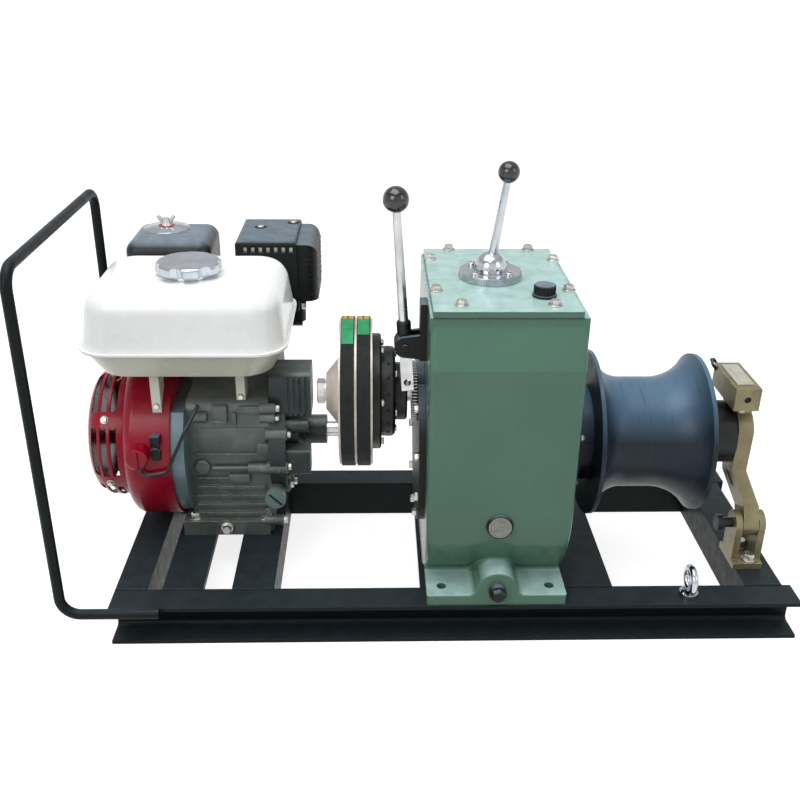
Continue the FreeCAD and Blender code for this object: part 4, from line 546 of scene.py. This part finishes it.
for x, y in muffler_screws:
    trim.lathe(at(x, y, 387.4), Z,
               [(0, 0), (0, 5), (2.0, 5), (3.0, 3.6), (3.0, 0)], 24)
for y, z in ((352, 292), (392, 292)):
    trim.bolt(at(207, y, z), X, 10, 6)
trim.done()

# Crankcase castings
bosses = Batch("crankcase_bosses", "base", "cast_alloy")
for degrees in crank_bolt_angles:
    spot = polar(172, *crank, 76, degrees)
    bosses.lathe(spot, X, [(0, 0), (0, 8), (25.5, 8), (26.6, 6.6), (26.6, 0)], 24)
for y, z, stop in corner_bolts:
    bosses.lathe(at(166, y, z), X, [(0, 0), (0, 6.6), (stop - 167, 6.6), (stop - 166, 5.6),
                                    (stop - 166, 0)], 24)
# The front face, from the top down, after its lowest boss
bosses.lathe(at(171.5, 161, 82), -Y, [(0, 0), (0, 7), (6.4, 7), (7.4, 6), (7.4, 0)], 24)
bosses.lathe(at(83, 158, 217), X, [(0, 0), (1, 7.4), (17, 7.4), (19, 6), (19, 0)], 28)
bosses.bar((108, 154.5, 210), (127, 164, 233), 3.5)
bosses.bar((109, 152.8, 210), (126, 157, 213), 1.2)
bosses.bar((131, 155.5, 205), (137.5, 163, 223), 2.5)
bosses.bar((140, 156.5, 220), (168, 164, 231), 2)
bosses.bar((87, 158.4, 170), (172, 162, 201), 1)
bosses.bar((84, 155.6, 164), (160, 161, 167), 0.9)
bosses.bar((160, 152.4, 165), (177, 161, 182), 3)
bosses.rod([(104, 155.4, 147), (150, 155.4, 147)], 3, 16)
bosses.lathe(at(148, 155, 147), X, [(0, 3), (1, 6.4), (26, 6.4), (27, 5.4), (27, 0)], 28)
bosses.lathe(at(91, 161, 147), -Y, [(0, 0), (0, 10.4), (4.4, 10.4), (6, 8.6), (6, 0)], 32)
bosses.bar((84, 155.6, 130), (123, 161, 133), 0.9)
bosses.bar((123, 154, 126), (150, 161, 138), 2.5)
bosses.lathe(at(117, 154, 61), -Y, [(-2, 0), (-2, 11), (0.8, 11), (1.6, 9.6), (1.6, 0)], 28)
bosses.bar((186, 192, 196), (214, 236, 214), 5)
bosses.bar((186, 182, 120), (213, 220, 142), 5)
bosses.done()

# Oil cap
caps = Batch("oil_cap_slot", "base", "dark_steel")
caps.plate([(173.4, 116.6), (175.2, 118.4), (190.8, 103.4), (189, 101.6)], "y", 139.4, 141, 0)
caps.done()

# Engine trim
black = Batch("engine_black_trim", "base", "black_steel")
black.bar((196, 340, 286), (204, 404, 304), 1.5)
for x, z in ((38, 184), (38, 202)):
    black.bar((x, 119.5, z - 7), (x + 12, 132, z + 7), 2.5)
black.bar((40.5, 117.8, 190), (47.5, 122, 194), 1)
black.done()

# Stop switch
switch = Batch("stop_switch_knob", "base", "red_paint")
switch.lathe(at(24, 109, 186), -Y, [(-2, 0), (-2, 13.4), (3.4, 13.4), (5, 11.6), (5, 0)], 40)
switch.bar((21.4, 100.4, 174.5), (26.6, 105, 197.5), 1.8)
switch.done()

# Air cleaner
wing = Batch("air_cleaner_disc", "base", "chrome")
wing.lathe(at(*cleaner_disc, 387), Z, [(0, 0), (0, 31), (1.6, 31), (2.6, 29.6), (2.8, 24), (4.6, 20),
                                 (4.8, 9), (4.8, 0)], 56)
wing.done()
nut = Batch("air_cleaner_wing_nut", "base", "zinc_bolt", "bright_steel")
nut.lathe(at(*cleaner_disc, 391.6), Z, [(0, 0), (0, 6.5), (5, 5), (10, 4.2), (10, 0)], 24)
for lean in (-1, 1):
    nut.plate([(24 + lean * 3, 393), (24 + lean * 8, 396), (24 + lean * 13, 403.5),
               (24 + lean * 10, 406), (24 + lean * 5.5, 403), (24 + lean * 3, 399)],
              "y", 392.6, 395.4, 0.8)
nut.done()
ring = Batch("wing_nut_washer", "base", "red_paint")
ring.lathe(at(*cleaner_disc, 391), Z, [(0, 0), (0, 11), (1.2, 11), (1.2, 0)], 32)
ring.done()

# Inside of the recoil starter: backing disc, hub and vanes in near black, painted shade inside the
# red housing
inside = Batch("recoil_inside", "base", "painted_shade_black", "red_paint")
inside.lathe(at(-2.6, *crank), X, [(-1, 0), (-1, 79), (1.5, 79), (1.5, 0)], 64)
inside.lathe(at(-13, *crank), X, [(0, 0), (0, 30), (9, 34), (10, 0)], 40)
for step in range(24):
    degrees = step * 15
    low, high = polar(-14, *crank, 33, degrees), polar(-14, *crank, 76, degrees + 14)
    inside.lathe(low, (high - low), [(0, 0), (0, 1.6), (43.6, 1.6), (43.6, 0)], 6)
inside.done()

# Muffler
# Holes and the two screw recesses drawn as thin near-black discs: painted shade inside them.
holes = Batch("muffler_perforation", "base", "painted_shade_black", "black_steel")
for row in range(8):
    for column in range(12):
        y, z = 348 + column * 7.4 + (row % 2) * 3.7, 316 + row * 7.2
        if 344 < y < 434:
            holes.lathe(at(230.85, y, z), X, [(0, 0), (0, 1.9), (0.3, 1.9), (0.3, 0)], 10)
for row in range(9):
    for column in range(4):
        x, z = 214 + column * 3.6, 313 + row * 7
        holes.lathe(at(x, 333.1, z), -Y, [(0, 0), (0, 1.5), (0.25, 1.5), (0.25, 0)], 10)
for x, y in muffler_screws:
    holes.lathe(at(x, y, 388.05), Z, [(0, 0), (0, 8.5), (0.25, 8.5), (0.25, 0)], 24)
holes.done()
# Bright zinc bars at the seven front slots: painted light seen through the slots.
slots = Batch("muffler_slot_light", "base", "zinc_bolt", "black_steel")
for step in range(7):
    slots.bar((134.4 + step * 10, 331.6, 373.4), (139.1 + step * 10, 332.3, 379.8), 0)
slots.done()

# Belt paint marks
paint = Batch("belt_paint_green", "base", "mark_green", "green_enamel")
gold = Batch("belt_paint_gold", "base", "mark_gold", "yellow_zinc")


def band(batch, start, stop, low, high, radius):
    """A thin paint mark on the belt's back, between two angles."""
    steps = 14
    rows = []
    for step in range(steps + 1):
        degrees = low + (high - low) * step / steps
        rows.append([batch.mesh.verts.new(polar(x, *clutch_axis, radius, degrees))
                     for x in (start, stop)])
    for one, two in zip(rows, rows[1:]):
        batch.mesh.faces.new((one[0], one[1], two[1], two[0]))


band(paint, 269.2, 282.6, 60.7, 94, 88.25)
band(paint, 287.4, 300.6, 70, 94, 88.25)
for start, stop in ((269.6, 275), (276.6, 282.4), (287.8, 292.6), (294.2, 300.4)):
    band(gold, start, stop, 94, 104, 88.27)
paint.done()
gold.done()

# Clutch
clutch = Batch("clutch_nut", "clutch_pulley_body", "zinc_bolt", "bright_steel")
clutch.lathe(at(239, *clutch_axis), -X, [(-9, 0), (-9, 15), (-1, 15), (0, 13.4), (0, 0)], 6)
for step in range(6):
    clutch.bolt(polar(314, *clutch_axis, 61, step * 60 + 12), X, 7, 3, turn=step)
    clutch.lathe(polar(330, *clutch_axis, 44, step * 60 - 10), X,
                 [(0, 0), (0, 4), (1.6, 4), (2.2, 3.2), (2.2, 0)], 20)
clutch.done()
# Near-black marks at the ring's eighteen slots: painted shade inside them.
slot_shade = Batch("clutch_ring_slots", "clutch_pulley_body", "painted_shade_black", "dark_steel")
for step in range(18):
    slot_shade.lathe(polar(322, *clutch_axis, 53.1, step * 20), polar(0, 0, 0, 1, step * 20)
                  - at(0, 0, 0), [(-0.6, 0), (-0.6, 2.2), (0.1, 2.2), (0.1, 0)], 12)
slot_shade.done()

# Clutch lever
lever = Batch("clutch_lever_clamp", "clutch_lever_body", "dark_steel")
lever.lathe(at(340, 85.4, 340), Y, [(0, 4.3), (0, 11), (1, 12), (12.2, 12), (13.2, 11),
                                    (13.2, 4.3)], 32)
lever.lathe(at(339.2, 92, 352), Vector((-0.07, 0, 1)), [(0, 0), (0, 8), (14, 8), (16, 6.4),
                                                        (16, 0)], 28)
lever.done()

# Tail bolts
fit = Batch("tail_bolts", "base", "zinc_bolt", "bright_steel")
fit.bolt(at(768, 80, 58), Z, 12, 7, washer=9)
fit.bolt(at(768, 110, 58), Z, 12, 7, washer=9)
fit.done()

# Latch
pins = Batch("latch_pin", "swing_arm_body", "black_steel")
pins.rod([(741, 103, 265), (741, 186, 265)], 3.2, 18)
pins.rod([(741, 183, 265), (733, 190, 272), (727, 190, 280), (722, 184, 282), (722, 176, 278),
          (730, 174, 268)], 1.8, 10)
pins.done()
top = Batch("latch_block_plate", "swing_arm_body", "zinc_light", "yellow_zinc")
top.bar((730, 112, 278.8), (750, 170, 281.4), 0.8)
top.bar((736, 122, 281), (744, 158, 282.2), 0.5)
top.lathe(at(741, 118, 251), -Z, [(-1, 0), (-1, 6), (7, 6), (8, 5), (8, 0)], 24)
top.done()

# Frame welds
beads = Batch("frame_weld_beads", "base", "black_paint")
for start, stop in ((1, 37), (56, 102), (139, 186), (361, 589), (751, 794)):
    for y in (37, 283):
        count = int((stop - start) / 2.4)
        beads.rod([(start + (stop - start) * k / count, y, 49.5 + 0.25 * (k % 2))
                   for k in range(count + 1)], 1.7, 8)
for y in (0, 320):
    beads.rod([(2 + k * 2.4, y, 49.6 + 0.25 * (k % 2)) for k in range(22)], 1.8, 8)
beads.done()

# Floor, lamps and the pale surroundings
def stage_floor():
    n = Nodes("stage_floor")
    rays = n.make("ShaderNodeLightPath")
    seen = n.math("ADD", n.math("ADD", rays.outputs["Is Camera Ray"],
                                rays.outputs["Is Glossy Ray"]),
                  rays.outputs["Is Transmission Ray"])
    tone = n.ramp(n.noise(3.0, 3), 0.3, 0.7, 0.0, 1.0)
    colour = n.mix(tone, rgb(176, 176, 176), rgb(180, 180, 180))
    matt = n.make("ShaderNodeBsdfDiffuse", Color=colour, Roughness=1.0).outputs[0]
    glow = n.make("ShaderNodeEmission", Color=(1, 1, 1, 1), Strength=0.82).outputs[0]
    dark = n.make("ShaderNodeEmission", Color=(0, 0, 0, 1), Strength=0.0).outputs[0]
    lit = n.make("ShaderNodeMixShader", i0=seen, i1=dark, i2=glow).outputs[0]
    both = n.make("ShaderNodeAddShader", i0=matt, i1=lit).outputs[0]
    n.tree.links.new(both, n.output.inputs[0])
    return n.material


floor_mesh = bmesh.new()
bmesh.ops.create_grid(floor_mesh, x_segments=4, y_segments=4, size=30.0)
floor_data = bpy.data.meshes.new("stage_floor")
floor_mesh.to_mesh(floor_data)
floor_mesh.free()
floor_data.materials.append(stage_floor())
floor_piece = bpy.data.objects.new("stage_floor", floor_data)
scene.collection.objects.link(floor_piece)

world = bpy.data.worlds.new("surroundings")
world.use_nodes = True
scene.world = world
tree = world.node_tree
tree.nodes.clear()


def world_node(kind, settings=None, **inputs):
    node = tree.nodes.new(kind)
    for key, value in (settings or {}).items():
        setattr(node, key, value)
    for key, value in inputs.items():
        socket = node.inputs[int(key[1:]) if key[1:].isdigit() else key]
        if isinstance(value, bpy.types.NodeSocket):
            tree.links.new(value, socket)
        else:
            socket.default_value = value
    return node


way = world_node("ShaderNodeTexCoord").outputs["Generated"]
lift = world_node("ShaderNodeVectorMath", {"operation": "DOT_PRODUCT"}, i0=way,
                  i1=(0.0, 0.25, 0.97)).outputs["Value"]
level = world_node("ShaderNodeMapRange", {"clamp": True}, i0=lift, i1=-0.05, i2=1.0, i3=0.16,
                   i4=0.84).outputs[0]
sky = world_node("ShaderNodeBackground", Color=(0.94, 0.975, 1.0, 1.0), Strength=level)
white = world_node("ShaderNodeBackground", Color=(1.0, 1.0, 1.0, 1.0), Strength=1.0)
rays = world_node("ShaderNodeLightPath")
low = world_node("ShaderNodeMapRange", {"clamp": True}, i0=lift, i1=0.3, i2=0.6, i3=1.0,
                 i4=0.0).outputs[0]
mirrored = world_node("ShaderNodeMath", {"operation": "MULTIPLY"}, i0=low,
                      i1=rays.outputs["Is Glossy Ray"]).outputs[0]
seen = world_node("ShaderNodeMath", {"operation": "ADD"}, i0=rays.outputs["Is Camera Ray"],
                  i1=rays.outputs["Is Transmission Ray"]).outputs[0]
seen = world_node("ShaderNodeMath", {"operation": "ADD", "use_clamp": True}, i0=seen,
                  i1=mirrored).outputs[0]
blend = world_node("ShaderNodeMixShader", i0=seen, i1=sky.outputs[0], i2=white.outputs[0])
world_node("ShaderNodeOutputWorld", i0=blend.outputs[0])


def lamp(name, place, target, width, height, power):
    data = bpy.data.lights.new(name, "AREA")
    data.shape = "RECTANGLE"
    data.size, data.size_y, data.energy = width, height, power
    made = bpy.data.objects.new(name, data)
    scene.collection.objects.link(made)
    made.location = place
    made.rotation_euler = (Vector(target) - Vector(place)).to_track_quat("-Z", "Y").to_euler()
    return made


lamp("lamp_top", (-0.3, -0.3, 2.2), (0, 0, 0.15), 1.8, 1.4, 27)
lamp("lamp_left", (-1.4, -2.0, 1.6), (0, 0, 0.2), 1.2, 1.2, 18)
lamp("lamp_right", (1.9, -1.3, 1.5), (0, 0, 0.2), 1.0, 1.3, 7)
